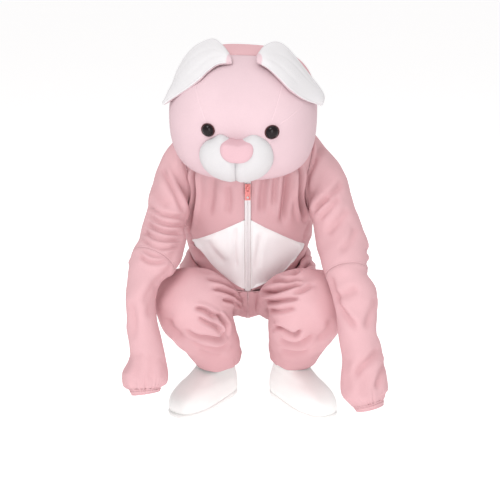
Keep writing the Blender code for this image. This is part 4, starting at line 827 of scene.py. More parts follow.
def shell(name, outer, inner, ring, uvs=None, values=None, disc=False):
    """Closed cloth between two grids; a disc's last row is one point."""
    rows, cols = outer.shape[:2]
    points = np.concatenate([outer.reshape(-1, 3), inner.reshape(-1, 3)])
    shift = rows * cols
    index = np.arange(rows * cols).reshape(rows, cols)
    if ring:
        index = np.concatenate([index, index[:, :1]], axis=1)
    if disc:
        index[-1, :] = index[-1, 0]
    a, b = index[:-1, :-1].ravel(), index[:-1, 1:].ravel()
    d, e = index[1:, 1:].ravel(), index[1:, :-1].ravel()
    faces = [list(f) for f in zip(a, b, d, e)]
    faces += [list(f) for f in zip(shift + a, shift + e, shift + d, shift + b)]
    top = index[0]
    faces += [list(f) for f in zip(top[:-1], shift + top[:-1], shift + top[1:], top[1:])]
    if not disc:
        low = index[-1]
        faces += [list(f) for f in zip(low[1:], shift + low[1:], shift + low[:-1], low[:-1])]
    if not ring:
        left, right = index[:, 0], index[:, -1]
        faces += [list(f) for f in zip(left[:-1], left[1:], shift + left[1:], shift + left[:-1])]
        faces += [list(f) for f in zip(right[:-1], shift + right[:-1], shift + right[1:], right[1:])]
    clean = []
    for f in faces:
        kept = [int(v) for k, v in enumerate(f) if v != f[k - 1]]
        if len(set(kept)) > 2:
            clean.append(kept)
    middle_face = clean[(rows // 2) * (cols if ring else cols - 1) + cols // 2]
    p = points[middle_face[:3]]
    back = points[[v + shift for v in middle_face[:3]]]
    if np.dot(np.cross(p[1] - p[0], p[2] - p[0]), (p - back).mean(axis=0)) < 0:
        clean = [f[::-1] for f in clean]
    if uvs is not None:
        uvs = np.concatenate([uvs.reshape(-1, 2)] * 2)
    if values:
        values = {k: np.concatenate([v.ravel(), v.ravel()]) for k, v in values.items()}
    used = np.unique(np.concatenate([np.array(f) for f in clean]))
    new_index = np.full(len(points), -1)
    new_index[used] = np.arange(len(used))
    clean = [[int(new_index[v]) for v in f] for f in clean]
    return new_mesh(name, points[used], clean, None if uvs is None else uvs[used],
                    {k: v[used] for k, v in (values or {}).items()})


def lengths_along(grid, ring):
    """Distance in metres down and across a grid, as a flat pattern."""
    down = np.linalg.norm(np.diff(grid, axis=0), axis=-1)
    down = np.concatenate([np.zeros((1, grid.shape[1])), np.cumsum(down, axis=0)])
    across = np.linalg.norm(np.diff(grid, axis=1), axis=-1)
    across = np.concatenate([np.zeros((grid.shape[0], 1)), np.cumsum(across, axis=1)], axis=1)
    across = across - across[:, -1:] / 2
    return down, across


def cut(area, size):
    """A cut's area in square metres, kept within its flat size."""
    return min(max(area, 0.3 * size[0] * size[1]), size[0] * size[1])


def tube_cut(fine, down):
    """Area and flat size of a tube of cloth, cut open."""
    around = np.linalg.norm(np.roll(fine, -1, axis=1) - fine, axis=-1).sum(axis=1)
    steps = np.linalg.norm(np.diff(fine, axis=0), axis=-1).mean(axis=1)
    size = (float(around.max()), float(down.max()))
    return cut(float((around[1:] + around[:-1]) @ steps / 2), size), size


def cloth(name, fine, normals, height, wall, ring, uvs, values):
    """Cloth raised by height from a grid, walled towards the mean of both sides' normals."""
    outer = fine + normals * height[..., None]
    inner = outer - unit(normals_towards(outer, ring, normals) + normals) * wall * MM
    return shell(name, outer, inner, ring, uvs, values)


# Materials.


class Wire:
    """A shader socket that adds Math nodes for the operators used on it."""

    def __init__(self, kit, socket):
        self.kit = kit
        self.socket = socket

    def _math(self, kind, a, b=None):
        inputs = {0: a} if b is None else {0: a, 1: b}
        return self.kit.add("ShaderNodeMath", {"operation": kind}, inputs)

    def __add__(self, other):
        return self._math("ADD", self, other)

    def __radd__(self, other):
        return self._math("ADD", other, self)

    def __sub__(self, other):
        return self._math("SUBTRACT", self, other)

    def __mul__(self, other):
        return self._math("MULTIPLY", self, other)

    def power(self, other):
        return self._math("POWER", self, other)

    def wave(self):
        return self._math("SINE", self)

    def exponent(self):
        return self._math("EXPONENT", self)

    def bell(self):
        """One at zero, fading on both sides."""
        return (self * self * -1.0).exponent()


class Kit:
    """Builds one material's nodes."""

    def __init__(self, name, colour, rough, **fixed):
        self.material = bpy.data.materials.new(name)
        self.material.use_nodes = True
        self.tree = self.material.node_tree
        self.shader = self.tree.nodes["Principled BSDF"]
        self.shader.inputs["Base Color"].default_value = (*colour, 1.0)
        self.shader.inputs["Roughness"].default_value = rough
        for key, value in fixed.items():
            self.shader.inputs[key.replace("_", " ")].default_value = value
        self.material.diffuse_color = (*colour, 1.0)

    def add(self, kind, settings=None, inputs=None, output=0):
        node = self.tree.nodes.new(kind)
        for key, value in (settings or {}).items():
            setattr(node, key, value)
        for key, value in (inputs or {}).items():
            if isinstance(value, Wire):
                self.tree.links.new(value.socket, node.inputs[key])
            else:
                node.inputs[key].default_value = value
        return Wire(self, node.outputs[output])

    def place(self):
        return self.add("ShaderNodeTexCoord", output=3)

    def noise(self, scale, detail, rough):
        return self.add("ShaderNodeTexNoise", inputs={
            "Vector": self.place(), "Scale": scale, "Detail": detail, "Roughness": rough})

    def cells(self, scale):
        return self.add("ShaderNodeTexVoronoi", inputs={"Vector": self.place(), "Scale": scale})

    def value_of(self, name):
        return self.add("ShaderNodeAttribute", {"attribute_name": name}, output=2)

    def mix(self, factor, first, second):
        node = self.tree.nodes.new("ShaderNodeMix")
        node.data_type = "RGBA"
        self.tree.links.new(factor.socket, node.inputs[0])
        for slot, colour in ((6, first), (7, second)):
            if isinstance(colour, Wire):
                self.tree.links.new(colour.socket, node.inputs[slot])
            else:
                node.inputs[slot].default_value = (*colour, 1.0)
        return Wire(self, node.outputs[2])

    def colour(self, wire):
        self.tree.links.new(wire.socket, self.shader.inputs["Base Color"])

    def rough(self, wire):
        self.tree.links.new(wire.socket, self.shader.inputs["Roughness"])

    def bump(self, height, strength, distance):
        bump = self.add("ShaderNodeBump", inputs={
            "Height": height, "Strength": strength, "Distance": distance})
        self.tree.links.new(bump.socket, self.shader.inputs["Normal"])


def shade(colour, factor):
    return tuple(min(1.0, c * factor) for c in colour)


STITCH_LINE = 0.0052
FOLD_SHADOW = (0.76, 0.62, 0.63)


def pile_cloth(name, colour, pile, stitched=True, darts=False, band=None):
    """Short brushed pile: flecked colour, soft nap and a stitched line beside each seam."""
    kit = Kit(name, colour, 0.92, Sheen_Weight=0.06, Sheen_Roughness=0.5, Specular_IOR_Level=0.12)
    kit.shader.inputs["Sheen Tint"].default_value = (*shade(colour, 1.15), 1.0)
    nap = kit.noise(pile, 4.0, 0.7)
    tufts = kit.cells(pile * 0.8)
    clouds = kit.noise(11.0, 3.0, 0.6)
    fleck = nap * 0.55 + clouds * 0.45
    base = kit.mix(fleck.power(1.3), shade(colour, 0.90), shade(colour, 1.10))
    shadow = tuple(c * darker for c, darker in zip(colour, FOLD_SHADOW))
    # Painted shadow darkens the troughs of the creases, and on the legs also the shins low down
    base = kit.mix(kit.value_of("painted_shade_amount") * 0.42, base, shadow)
    height = nap * 0.6 + tufts * 0.5 + clouds * 0.5
    if stitched:
        seam = kit.value_of("seam")
        groove = ((seam - STITCH_LINE) * 1700.0).bell()
        close = (seam * -420.0).exponent()
        base = kit.mix(close * 0.16 + groove * 0.16, base, shade(colour, 0.66))
        height = height - groove * 1.1
    if darts:
        dart = (kit.value_of("dart") * 800.0).bell()
        base = kit.mix(dart * 0.45, base, shade(colour, 1.22))
        height = height - dart * 1.6
    if band:
        base = kit.mix(kit.value_of("band"), base, band)
    kit.colour(base)
    kit.bump(height, 0.42, 0.0012)
    return kit.material


def rubber(name, colour):
    kit = Kit(name, colour, 0.42, Coat_Weight=0.12, Coat_Roughness=0.3, Specular_IOR_Level=0.45)
    clouds = kit.noise(14.0, 4.0, 0.6)
    grain = kit.noise(700.0, 2.0, 0.5)
    scuffs = kit.noise(60.0, 5.0, 0.75)
    kit.colour(kit.mix(clouds * 0.6 + scuffs * 0.4, shade(colour, 0.93), shade(colour, 1.04)))
    kit.rough(0.34 + clouds * 0.16 + scuffs * 0.08)
    kit.bump(grain * 0.5 + clouds * 1.2, 0.25, 0.0008)
    return kit.material


def moulded(name, colour, rough, coat):
    kit = Kit(name, colour, rough, Coat_Weight=coat, Coat_Roughness=0.06, Specular_IOR_Level=0.16)
    clouds = kit.noise(90.0, 3.0, 0.6)
    kit.colour(kit.mix(clouds, shade(colour, 0.92), shade(colour, 1.06)))
    kit.rough(rough * 0.85 + clouds * rough * 0.3)
    kit.bump(kit.noise(900.0, 2.0, 0.5), 0.08, 0.0004)
    return kit.material


def woven_tape(name, colour):
    """Twill tape: fine slanting ribs."""
    kit = Kit(name, colour, 0.72, Sheen_Weight=0.15, Specular_IOR_Level=0.25)
    where = kit.add("ShaderNodeUVMap", {"uv_map": "cloth"})
    parts = kit.tree.nodes.new("ShaderNodeSeparateXYZ")
    kit.tree.links.new(where.socket, parts.inputs[0])
    across, down = Wire(kit, parts.outputs[0]), Wire(kit, parts.outputs[1])
    ribs = ((across + down) * 7400.0).wave() * 0.5 + 0.5
    clouds = kit.noise(60.0, 3.0, 0.6)
    kit.colour(kit.mix(ribs * 0.5 + clouds * 0.5, shade(colour, 0.86), shade(colour, 1.04)))
    kit.bump(ribs, 0.3, 0.0004)
    return kit.material


MATERIALS = {}


def finish(name):
    """The material of that name, made once from the panel's colours."""
    if name in MATERIALS:
        return MATERIALS[name]
    tint = bpy.context.scene.costume_colours
    pile = bpy.context.scene.costume_sizes.pile_scale
    makers = {
        "fleece": lambda: pile_cloth("dusty_pink_fleece", tuple(tint.fleece), pile),
        "light_plush": lambda: pile_cloth("light_pink_plush", tuple(tint.light_plush), pile * 1.1),
        "face_plush": lambda: pile_cloth("face_pink_plush", tuple(tint.light_plush), pile * 1.1, darts=True),
        "ear_lining": lambda: pile_cloth("ear_white_plush", tuple(tint.white_plush), pile * 1.1,
                                         band=tuple(tint.light_plush)),
        # The belly is its own white fleece, and is also painted lighter to make up for the shade that the head
        # casts on it
        "belly": lambda: pile_cloth("white_fleece_painted_lighter", tuple(tint.belly), pile),
        # The muzzle's white plush is painted darker than the ears', as painted shade against the strong light
        # that falls on the muzzle
        "muzzle": lambda: pile_cloth("white_muzzle_painted_darker", shade(tuple(tint.white_plush), 0.88), pile * 1.1),
        "nose_pink": lambda: pile_cloth("pink_plush", tuple(tint.nose), pile * 1.2, False),
        "rubber": lambda: rubber("off_white_rubber", tuple(tint.rubber)),
        "coral": lambda: moulded("coral_zip_plastic", tuple(tint.zip_pull), 0.38, 0.2),
        "teeth": lambda: moulded("zip_teeth_plastic", tuple(tint.zip_tape), 0.45, 0.1),
        "tape": lambda: woven_tape("zip_tape_weave", tuple(tint.zip_tape)),
        "eye_black": lambda: moulded("black_eye_gloss", tuple(tint.eye), 0.06, 0.1),
        "eye_rim": lambda: moulded("brown_eye_rim", tuple(tint.eye_rim), 0.25, 0.1),
    }
    MATERIALS[name] = makers[name]()
    return MATERIALS[name]


def dress(obj, material, node="", body="costume"):
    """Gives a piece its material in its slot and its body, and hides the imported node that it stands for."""
    obj.data.materials.clear()
    obj.data.materials.append(finish(material))
    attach(obj, body)
    if node:
        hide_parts(node)


# Modelling with operators.


def nothing_selected():
    if bpy.context.object and bpy.context.object.mode != "OBJECT":
        bpy.ops.object.mode_set(mode="OBJECT")
    bpy.ops.object.select_all(action="DESELECT")


def only(obj):
    nothing_selected()
    obj.select_set(True)
    bpy.context.view_layer.objects.active = obj


def named(name):
    """The object just made, with its own name."""
    obj = bpy.context.object
    obj.name = name
    obj.data.name = name
    return obj


def apply_place(obj):
    only(obj)
    bpy.ops.object.transform_apply(location=True, rotation=True, scale=True)


def apply_modifier(obj, kind, **settings):
    only(obj)
    modifier = obj.modifiers.new(kind.lower(), kind)
    for key, value in settings.items():
        setattr(modifier, key, value)
    bpy.ops.object.modifier_apply(modifier=modifier.name)


def node_copy(name, node):
    """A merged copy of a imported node, with its triangles joined to quads."""
    source = frame["nodes"][node]
    obj = bpy.data.objects.new(name, source.data.copy())
    obj.data.name = name
    bpy.context.scene.collection.objects.link(obj)
    only(obj)
    bpy.ops.object.mode_set(mode="EDIT")
    bpy.ops.mesh.select_all(action="SELECT")
    bpy.ops.mesh.remove_doubles(threshold=0.00002)
    bpy.ops.mesh.tris_convert_to_quads(face_threshold=math.radians(60), shape_threshold=math.radians(60))
    bpy.ops.object.mode_set(mode="OBJECT")
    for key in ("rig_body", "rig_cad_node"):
        if key in obj:
            del obj[key]
    return obj


def smooth_shaded(obj, angle):
    only(obj)
    bpy.ops.object.shade_smooth_by_angle(angle=math.radians(angle))


def turned_to(direction):
    """Rotation that takes +Z to a direction."""
    return Vector(direction).to_track_quat("Z", "Y").to_matrix().to_4x4()


# Properties.


class CostumeSizes(bpy.types.PropertyGroup):
    fleece_wall: FloatProperty(
        name="Fleece", description="Thickness of the fleece in millimetres", default=2.2, min=1.0, max=4.0)
    plush_wall: FloatProperty(
        name="Mask wall", description="Thickness of the mask's padded wall in millimetres", default=5.0)
    crease_strength: FloatProperty(
        name="Creases", description="How deep the creases are", default=1.9, min=0.0, max=4.0, subtype="FACTOR")
    pile_scale: FloatProperty(
        name="Pile", description="Tufts of pile per metre", default=420.0)
    tooth_pitch: FloatProperty(
        name="Zip pitch", description="Distance between zip teeth", default=0.0026, unit="LENGTH")


def tint(name, description, default):
    return FloatVectorProperty(name=name, description=description, subtype="COLOR", size=3,
                               min=0.0, max=1.0, default=default)


class CostumeColours(bpy.types.PropertyGroup):
    fleece: tint("Fleece", "Dusty pink of the jumpsuit", (0.68, 0.415, 0.44))
    light_plush: tint("Face", "Light pink of the mask's face", (0.675, 0.505, 0.54))
    white_plush: tint("White plush", "White of the muzzle and ears", (0.72, 0.705, 0.715))
    # The belly's own white, also painted lighter against the shade that the head casts on it
    belly: tint("Belly", "White of the belly's fleece", (0.94, 0.95, 0.955))
    nose: tint("Nose", "Pink of the nose", (0.66, 0.43, 0.47))
    rubber: tint("Boots", "Off-white of the boots", (0.90, 0.91, 0.895))
    zip_pull: tint("Zip pull", "Coral of the slider and its tab", (0.80, 0.27, 0.26))
    zip_tape: tint("Zip tape", "Off-white of the tape and teeth", (0.86, 0.83, 0.84))
    eye: tint("Eyes", "Black of the eyes", (0.012, 0.008, 0.009))
    eye_rim: tint("Eye rims", "Dark brown of the eye rims", (0.09, 0.030, 0.030))


# Operators.


class CostumeStage(bpy.types.Operator):
    """Floor, lights and camera"""

    bl_idname = "costume.stage"
    bl_label = "Stage"

    def execute(self, context):
        nothing_selected()
        floor_z = -float(HOLD[2]) - 0.0005
        bpy.ops.mesh.primitive_plane_add(size=80.0, location=(0, 20.0, floor_z))
        floor = named("floor")
        apply_place(floor)
        kit = Kit("pale_floor", (0.95, 0.945, 0.945), 0.9, Specular_IOR_Level=0.1, Emission_Strength=FLOOR_GLOW)
        kit.shader.inputs["Emission Color"].default_value = (1.0, 1.0, 1.0, 1.0)
        kit.colour(kit.mix(kit.noise(0.6, 2.0, 0.5), (0.945, 0.94, 0.94), (0.955, 0.95, 0.95)))
        floor.data.materials.append(kit.material)
        world = bpy.data.worlds.new("soft_white")
        context.scene.world = world
        world.use_nodes = True
        sky = world.node_tree.nodes["Background"].inputs
        sky[0].default_value, sky[1].default_value = SKY_COLOUR, SKY_STRENGTH
        for name, size, power, spot in LAMPS:
            light = bpy.data.lights.new(name, "AREA")
            light.shape = "DISK"
            light.size = size
            light.energy = power
            lamp = bpy.data.objects.new(name, light)
            context.scene.collection.objects.link(lamp)
            lamp.location = spot
            aim = Vector(LAMP_AIM) - Vector(spot)
            lamp.rotation_euler = aim.to_track_quat("-Z", "Y").to_euler()
        camera = bpy.data.cameras.new("camera")
        camera.sensor_width = 36.0
        camera.sensor_fit = "HORIZONTAL"
        camera.lens = camera.sensor_width / 2 * CAMERA_AWAY / CAMERA_HALF_VIEW
        camera.shift_y = -1.0 / PICTURE
        camera.clip_end = 50.0
        lens = bpy.data.objects.new("camera", camera)
        context.scene.collection.objects.link(lens)
        lens.location = tuple(camera_place()[0])
        lens.rotation_euler = (math.radians(90.0 - CAMERA_DOWN), 0.0, 0.0)
        context.scene.camera = lens
        context.scene.view_settings.view_transform = "Standard"
        return {"FINISHED"}


class CostumeTorso(bpy.types.Operator):
    """Front panels, white belly and back panel"""

    bl_idname = "costume.torso"
    bl_label = "Torso panels"
    fine = 7

    def execute(self, context):
        for name, sign, belly in (("left", -1, BELLY_LEFT), ("right", 1, BELLY_RIGHT)):
            inner = front_inner_edge(belly, self.fine)
            outer = outer_edge(ARMHOLE_FRONT, self.fine)
            obj, area, size = self.panel("fleece_front_" + name, inner, outer, (FRONT_COLUMNS - 1) * 2, sign)
            dress(obj, "fleece", "front_" + name)
            edge = inner[BELLY_FIRST_ROW * self.fine:-self.fine]
            zip_side = np.stack([angle_at(ZIP_EDGE, edge[:, 1]), edge[:, 1]], axis=-1)
            obj, area, size = self.panel("white_belly_" + name, zip_side, edge, (FRONT_COLUMNS - 2) * 2, sign)
            dress(obj, "belly", "belly_" + name)
        edge = outer_edge(ARMHOLE_BACK, self.fine)
        far = np.stack([360 - edge[:, 0], edge[:, 1]], axis=-1)
        obj, area, size = self.panel("fleece_back", edge, far, BACK_COLUMNS, 1, hip_seam=True)
        dress(obj, "fleece", "back_panel")
        return {"FINISHED"}

    def panel(self, name, inner, outer, columns, sign, hip_seam=False):
        """Creased cloth between two edges of the body, with its area and flat size."""
        sizes = bpy.context.scene.costume_sizes
        share = np.linspace(0, 1, columns * self.fine + 1)[None, :, None]
        param = inner[:, None, :] * (1 - share) + outer[:, None, :] * share
        fine = place(torso(sign * param[..., 0], param[..., 1]))
        normals = normals_towards(fine, False, fine - place(TORSO_CORE))
        down, across = lengths_along(fine, False)
        width = across[:, -1:] - across[:, :1]
        seam = np.minimum(across - across[:, :1], across[:, :1] + width - across)
        if hip_seam:
            seam = np.minimum(seam, down[-1:] - down)
        height, painted_shade = relief(fine, normals, "torso", sizes.crease_strength)
        height = height * smooth_step(seam, 0.0, PANEL_FLAT) - PANEL_STITCH * bell(seam, STITCH_WIDTH)
        obj = cloth(name, fine, normals, height, sizes.fleece_wall, False, np.stack([across, down], axis=-1),
                    {"seam": seam, "painted_shade_amount": painted_shade})
        area = float(np.linalg.norm(np.cross(
            fine[1:, :-1] - fine[:-1, :-1], fine[:-1, 1:] - fine[:-1, :-1]), axis=-1).sum())
        size = (float(width.max()), float(down.max()))
        return obj, cut(area, size), size


class CostumeZip(bpy.types.Operator):
    """Tape, teeth, slider and pull tab"""

    bl_idname = "costume.zip"
    bl_label = "Zip"

    def execute(self, context):
        rows = np.linspace(TORSO_TOP, 0.0, ZIP_ROWS * 6)
        across = np.linspace(-1.0, 1.0, 9) * ZIP_HALF
        angle = np.stack([np.sign(a) * angle_at(abs(a), rows) for a in across], axis=1)
        grid = torso(angle, np.repeat(rows[:, None], len(across), axis=1))
        fine = place(grid)
        normals = normals_towards(fine, False, FORWARD)
        down, wide = lengths_along(fine, False)
        outer = fine - normals * TAPE_BACK
        obj = shell("zip_tape_cloth", outer, outer - normals * TAPE_WALL, False,
                    np.stack([wide, down], axis=-1), {"seam": np.abs(wide)})
        dress(obj, "tape", "zip_tape")
        self.teeth(context, fine[:, 4], normals[:, 4])
        self.slider()
        return {"FINISHED"}

    def teeth(self, context, line, normals):
        """One tooth modelled, then copied down both sides of the zip."""
        nothing_selected()
        bpy.ops.mesh.primitive_cube_add(size=1.0, location=(0, 0, 0))
        tooth = named("zip_teeth")
        tooth.scale = (0.0026, 0.0010, 0.0013)
        apply_place(tooth)
        apply_modifier(tooth, "BEVEL", width=0.0003, segments=1)
        base = np.array([v.co[:] for v in tooth.data.vertices])
        faces = [list(p.vertices) for p in tooth.data.polygons]
        steps = np.concatenate([[0.0], np.cumsum(np.linalg.norm(np.diff(line, axis=0), axis=1))])
        pitch = context.scene.costume_sizes.tooth_pitch
        count = int(steps[-1] / pitch)
        points, all_faces = [], []
        for k in range(count * 2):
            t = (k // 2 + 0.5 * (k % 2)) * pitch + 0.001
            spot = np.array([np.interp(t, steps, line[:, a]) for a in range(3)])
            normal = unit(np.array([np.interp(t, steps, normals[:, a]) for a in range(3)]))
            side = np.array([1.0, 0.0, 0.0])
            up = np.cross(side, normal)
            shift = 0.0010 if k % 2 else -0.0010
            centre = spot + side * shift + normal * 0.0004
            all_faces += [[v + len(points) * len(base) for v in f] for f in faces]
            points.append(centre + base @ np.stack([side, normal, up]))
        bpy.data.objects.remove(tooth, do_unlink=True)
        obj = new_mesh("zip_teeth", np.concatenate(points), all_faces)
        obj.data.shade_flat()
        dress(obj, "teeth")

    def slider(self):
        """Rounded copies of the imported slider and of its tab, which rides the hinge."""
        for name, node, width, body in (
            ("zip_slider_body", "zip_slider", 0.0009, "costume"),
            ("zip_pull_tab", "zip_pull", 0.0006, "zip_pull"),
        ):
            obj = node_copy(name, node)
            apply_modifier(obj, "BEVEL", width=width, segments=3, limit_method="ANGLE",
                           angle_limit=math.radians(40))
            smooth_shaded(obj, 50.0)
            dress(obj, "coral", node, body)


class CostumeSleeves(bpy.types.Operator):
    """Sleeves in two parts and their gathered cuffs"""

    bl_idname = "costume.sleeves"
    bl_label = "Sleeves"
    along, round_arm = 11, 9

    def execute(self, context):
        for name, sleeve in SLEEVES.items():
            side = sleeve["side"]
            hole, lip = armhole_ring(side, 1)
            path = sleeve["upper"] + sleeve["lower"][1:] + sleeve["cuff"]
            rings = path_rings(path, side, lip.mean(axis=0))
            cuff = rings[-2:].copy()
            elbow = len(sleeve["upper"])
            upper = fill_rings(np.concatenate([[lip], rings[:elbow]]), UPPER_RINGS - 1)
            upper = np.concatenate([[hole], settle_sleeve(upper)])
            lower = fill_rings(rings[elbow - 1:-1], LOWER_RINGS)
            arm = finer(np.concatenate([upper, lower[1:]]), self.along, self.round_arm, True)
            arm[0], arm[self.along] = armhole_ring(side, self.round_arm)
            split = (UPPER_RINGS - 1) * self.along
            for label, grid, last in (("upper", arm[:split + 1], False), ("lower", arm[split:], True)):
                obj, area, size = self.tube("fleece_sleeve_%s_%s" % (label, name), grid,
                                            "sleeve_" + name, side, last)
                dress(obj, "fleece", "sleeve_%s_%s" % (label, name))
                rests = ["front_" + name] if label == "upper" else ["cuff_" + name]
            self.cuff(name, arm[-1], cuff, side)
        return {"FINISHED"}

    def tube(self, name, grid, piece, side, gathered):
        """One sleeve part, creased outwards from its own middle line, with its area and flat size."""
        sizes = bpy.context.scene.costume_sizes
        fine = place(grid)
        normals = normals_towards(fine, True, fine - fine.mean(axis=1, keepdims=True))
        down, across = lengths_along(fine, True)
        left = down[-1:] - down
        seam = np.minimum(down, left)
        height, painted_shade = relief(fine, normals, piece, sizes.crease_strength)
        height = height * smooth_step(seam, 0.0, SLEEVE_FLAT)
        height = height - SLEEVE_STITCH * bell(down if gathered else left, STITCH_WIDTH)
        if gathered:
            height = height + pleats(turns(grid.shape[1]), side)[None, :] * CUFF_GATHER * bell(left, CUFF_REACH)
        obj = cloth(name, fine, normals, height, sizes.fleece_wall, True, np.stack([across, down], axis=-1),
                    {"seam": seam, "painted_shade_amount": painted_shade})
        return obj, *tube_cut(fine, down)

    def cuff(self, name, last, ends, side):
        """Elastic band gathered into puckers, with its own turned hem."""
        around = np.arange(CUFF_POINTS) / CUFF_POINTS
        end = spline(ends[1], around * len(ends[1]), True)
        first = spline(last, around * len(last), True)
        share = np.linspace(0.02, 1.0, CUFF_ROWS)[:, None, None]
        grid = place(first[None] * (1 - share) + end[None] * share)
        normals = normals_towards(grid, True, grid - grid.mean(axis=1, keepdims=True))
        v = share[..., 0]
        gather = 0.0016 * (0.4 + 0.6 * bell(v, 0.3))
        ring_line = -0.0016 * bell(v - 0.30, 0.06) - 0.0012 * bell(v - 0.78, 0.05)
        height = pleats(turns(CUFF_POINTS), side)[None, :] * gather + ring_line + 0.0006 * np.sin(math.pi * v)
        outer = grid + normals * height[..., None]
        down, across = lengths_along(grid, True)
        obj = shell("fleece_cuff_" + name, outer, outer - normals * CUFF_WALL, True,
                    np.stack([across, down], axis=-1), {"seam": np.abs(down - 0.30 * down[-1:]) + SEAM_LINE})
        dress(obj, "fleece", "cuff_" + name)
        around, length = tube_cut(grid, down)[1]
        around * CUFF_EASE


def pleats(theta, side):
    """Uneven gathers round an elastic edge, from -1 to 1."""
    warp = theta + 0.13 * np.sin(3 * theta + 0.7 * side) + 0.07 * np.sin(7 * theta + 1.9)
    size = 0.62 + 0.24 * np.sin(2 * theta + side) + 0.14 * np.sin(5 * theta + 0.4)
    return np.sin(26 * warp) * size + 0.35 * np.sin(41 * warp + 1.3)


class CostumeLegs(bpy.types.Operator):
    """Trouser legs with their hems"""

    bl_idname = "costume.legs"
    bl_label = "Trouser legs"
    down_leg, round_leg = 14, 6

    def execute(self, context):
        wall = context.scene.costume_sizes.fleece_wall
        strength = context.scene.costume_sizes.crease_strength
        for name, side, hip_x, hip_y, heading, hem_shift in LEGS:
            rings = leg_rings(side, hip_x, hip_y, heading, hem_shift, self.round_leg)
            grid = finer(rings, self.down_leg, 1, True)
            keep_side(grid, side, SEAM / 2)
            fine = place(grid)
            normals = grid_normals(fine, True)
            legs = slice(self.down_leg * 2, None)
            if np.sum(normals[legs] * (fine[legs] - fine[legs].mean(axis=1, keepdims=True))) < 0:
                normals = -normals
            down, across = lengths_along(fine, True)
            left = down[-1:] - down
            height, painted_shade = relief(fine, normals, "leg_" + name, strength)
            painted_shade = np.minimum(painted_shade + SHIN_SHADE * smooth_step(-grid[..., 2], -SHIN_TOP, -SHIN_LOW), 1.0)
            height = height * smooth_step(np.minimum(down, left), 0.0, LEG_FLAT)
            theta = turns(grid.shape[1])
            wave = np.sin(9 * theta + 0.6 * np.sin(2 * theta) + side) * (0.6 + 0.4 * np.sin(3 * theta))
            height = height + wave[None, :] * HEM_GATHER * bell(left, HEM_REACH)
            height = height - LEG_STITCH * bell(down, STITCH_WIDTH)
            outer = fine + normals * height[..., None]
            inner = outer - normals * wall * MM
            middle = MIDLINE * MM - HOLD[0]
            for points in (outer, inner):
                reach = (points[..., 0] - middle) * side
                points[..., 0] = middle + side * np.maximum(reach, SEAM / 2 * MM)
            hem = np.abs(left - HEM_SEAM) + SEAM_LINE
            obj = shell("fleece_leg_" + name, outer, inner, True, np.stack([across, down], axis=-1),
                        {"seam": np.minimum(down, hem), "painted_shade_amount": painted_shade})
            dress(obj, "fleece", "leg_" + name)
            area, size = tube_cut(fine, down)
        return {"FINISHED"}


class CostumeHead(bpy.types.Operator):
    """Head mask: face and back"""

    bl_idname = "costume.head"
    bl_label = "Head mask"
    fine = 8

    def execute(self, context):
        wall = context.scene.costume_sizes.plush_wall
        for name, disc in head_discs(self.fine).items():
            middle = disc[..., [0, 2]]
            raised = smooth_step(-disc[..., 2], 85, 150) * smooth_step(-disc[..., 1], -10, 50)
            disc[..., 2] += CHIN_RISE * raised
            soft = MASK_SOFT * np.sin(disc[..., 0] / 41.0 + 0.6) * np.sin(disc[..., 2] / 37.0 + 1.1)
            from_edge = np.concatenate([
                np.zeros((1, disc.shape[1])),
                np.cumsum(np.linalg.norm(np.diff(disc, axis=0), axis=-1), axis=0)])
            soft = soft * smooth_step(from_edge, 0.0, MASK_FLAT)
            soft = soft - MASK_STITCH * bell(from_edge, MASK_STITCH_WIDTH)
            dart = np.full(soft.shape, 90.0)
            if name == "head_face":
                for line, way in DARTS:
                    gap = beside_line(middle, line, way)
                    dart = np.where(np.abs(gap) < np.abs(dart), gap, dart)
            outer = disc + head_normals(disc) * soft[..., None]
            inner = disc - head_normals(disc) * wall
            inner[0, :SEAM_POINTS * self.fine + 1, 1] = outer[0, :SEAM_POINTS * self.fine + 1, 1]
            uvs = np.stack([disc[..., 0], disc[..., 2]], axis=-1) * MM
            obj = shell("plush_" + name, place(to_head(outer)), place(to_head(inner)), True, uvs,
                        {"seam": from_edge * MM, "dart": dart * MM}, disc=True)
            dress(obj, "face_plush" if name == "head_face" else "fleece", name)
            fine = place(disc)
            round_disc = np.roll(fine, -1, axis=1)[:-1] - fine[:-1]
            area = float(np.linalg.norm(np.cross(fine[1:] - fine[:-1], round_disc), axis=-1).sum())
        return {"FINISHED"}


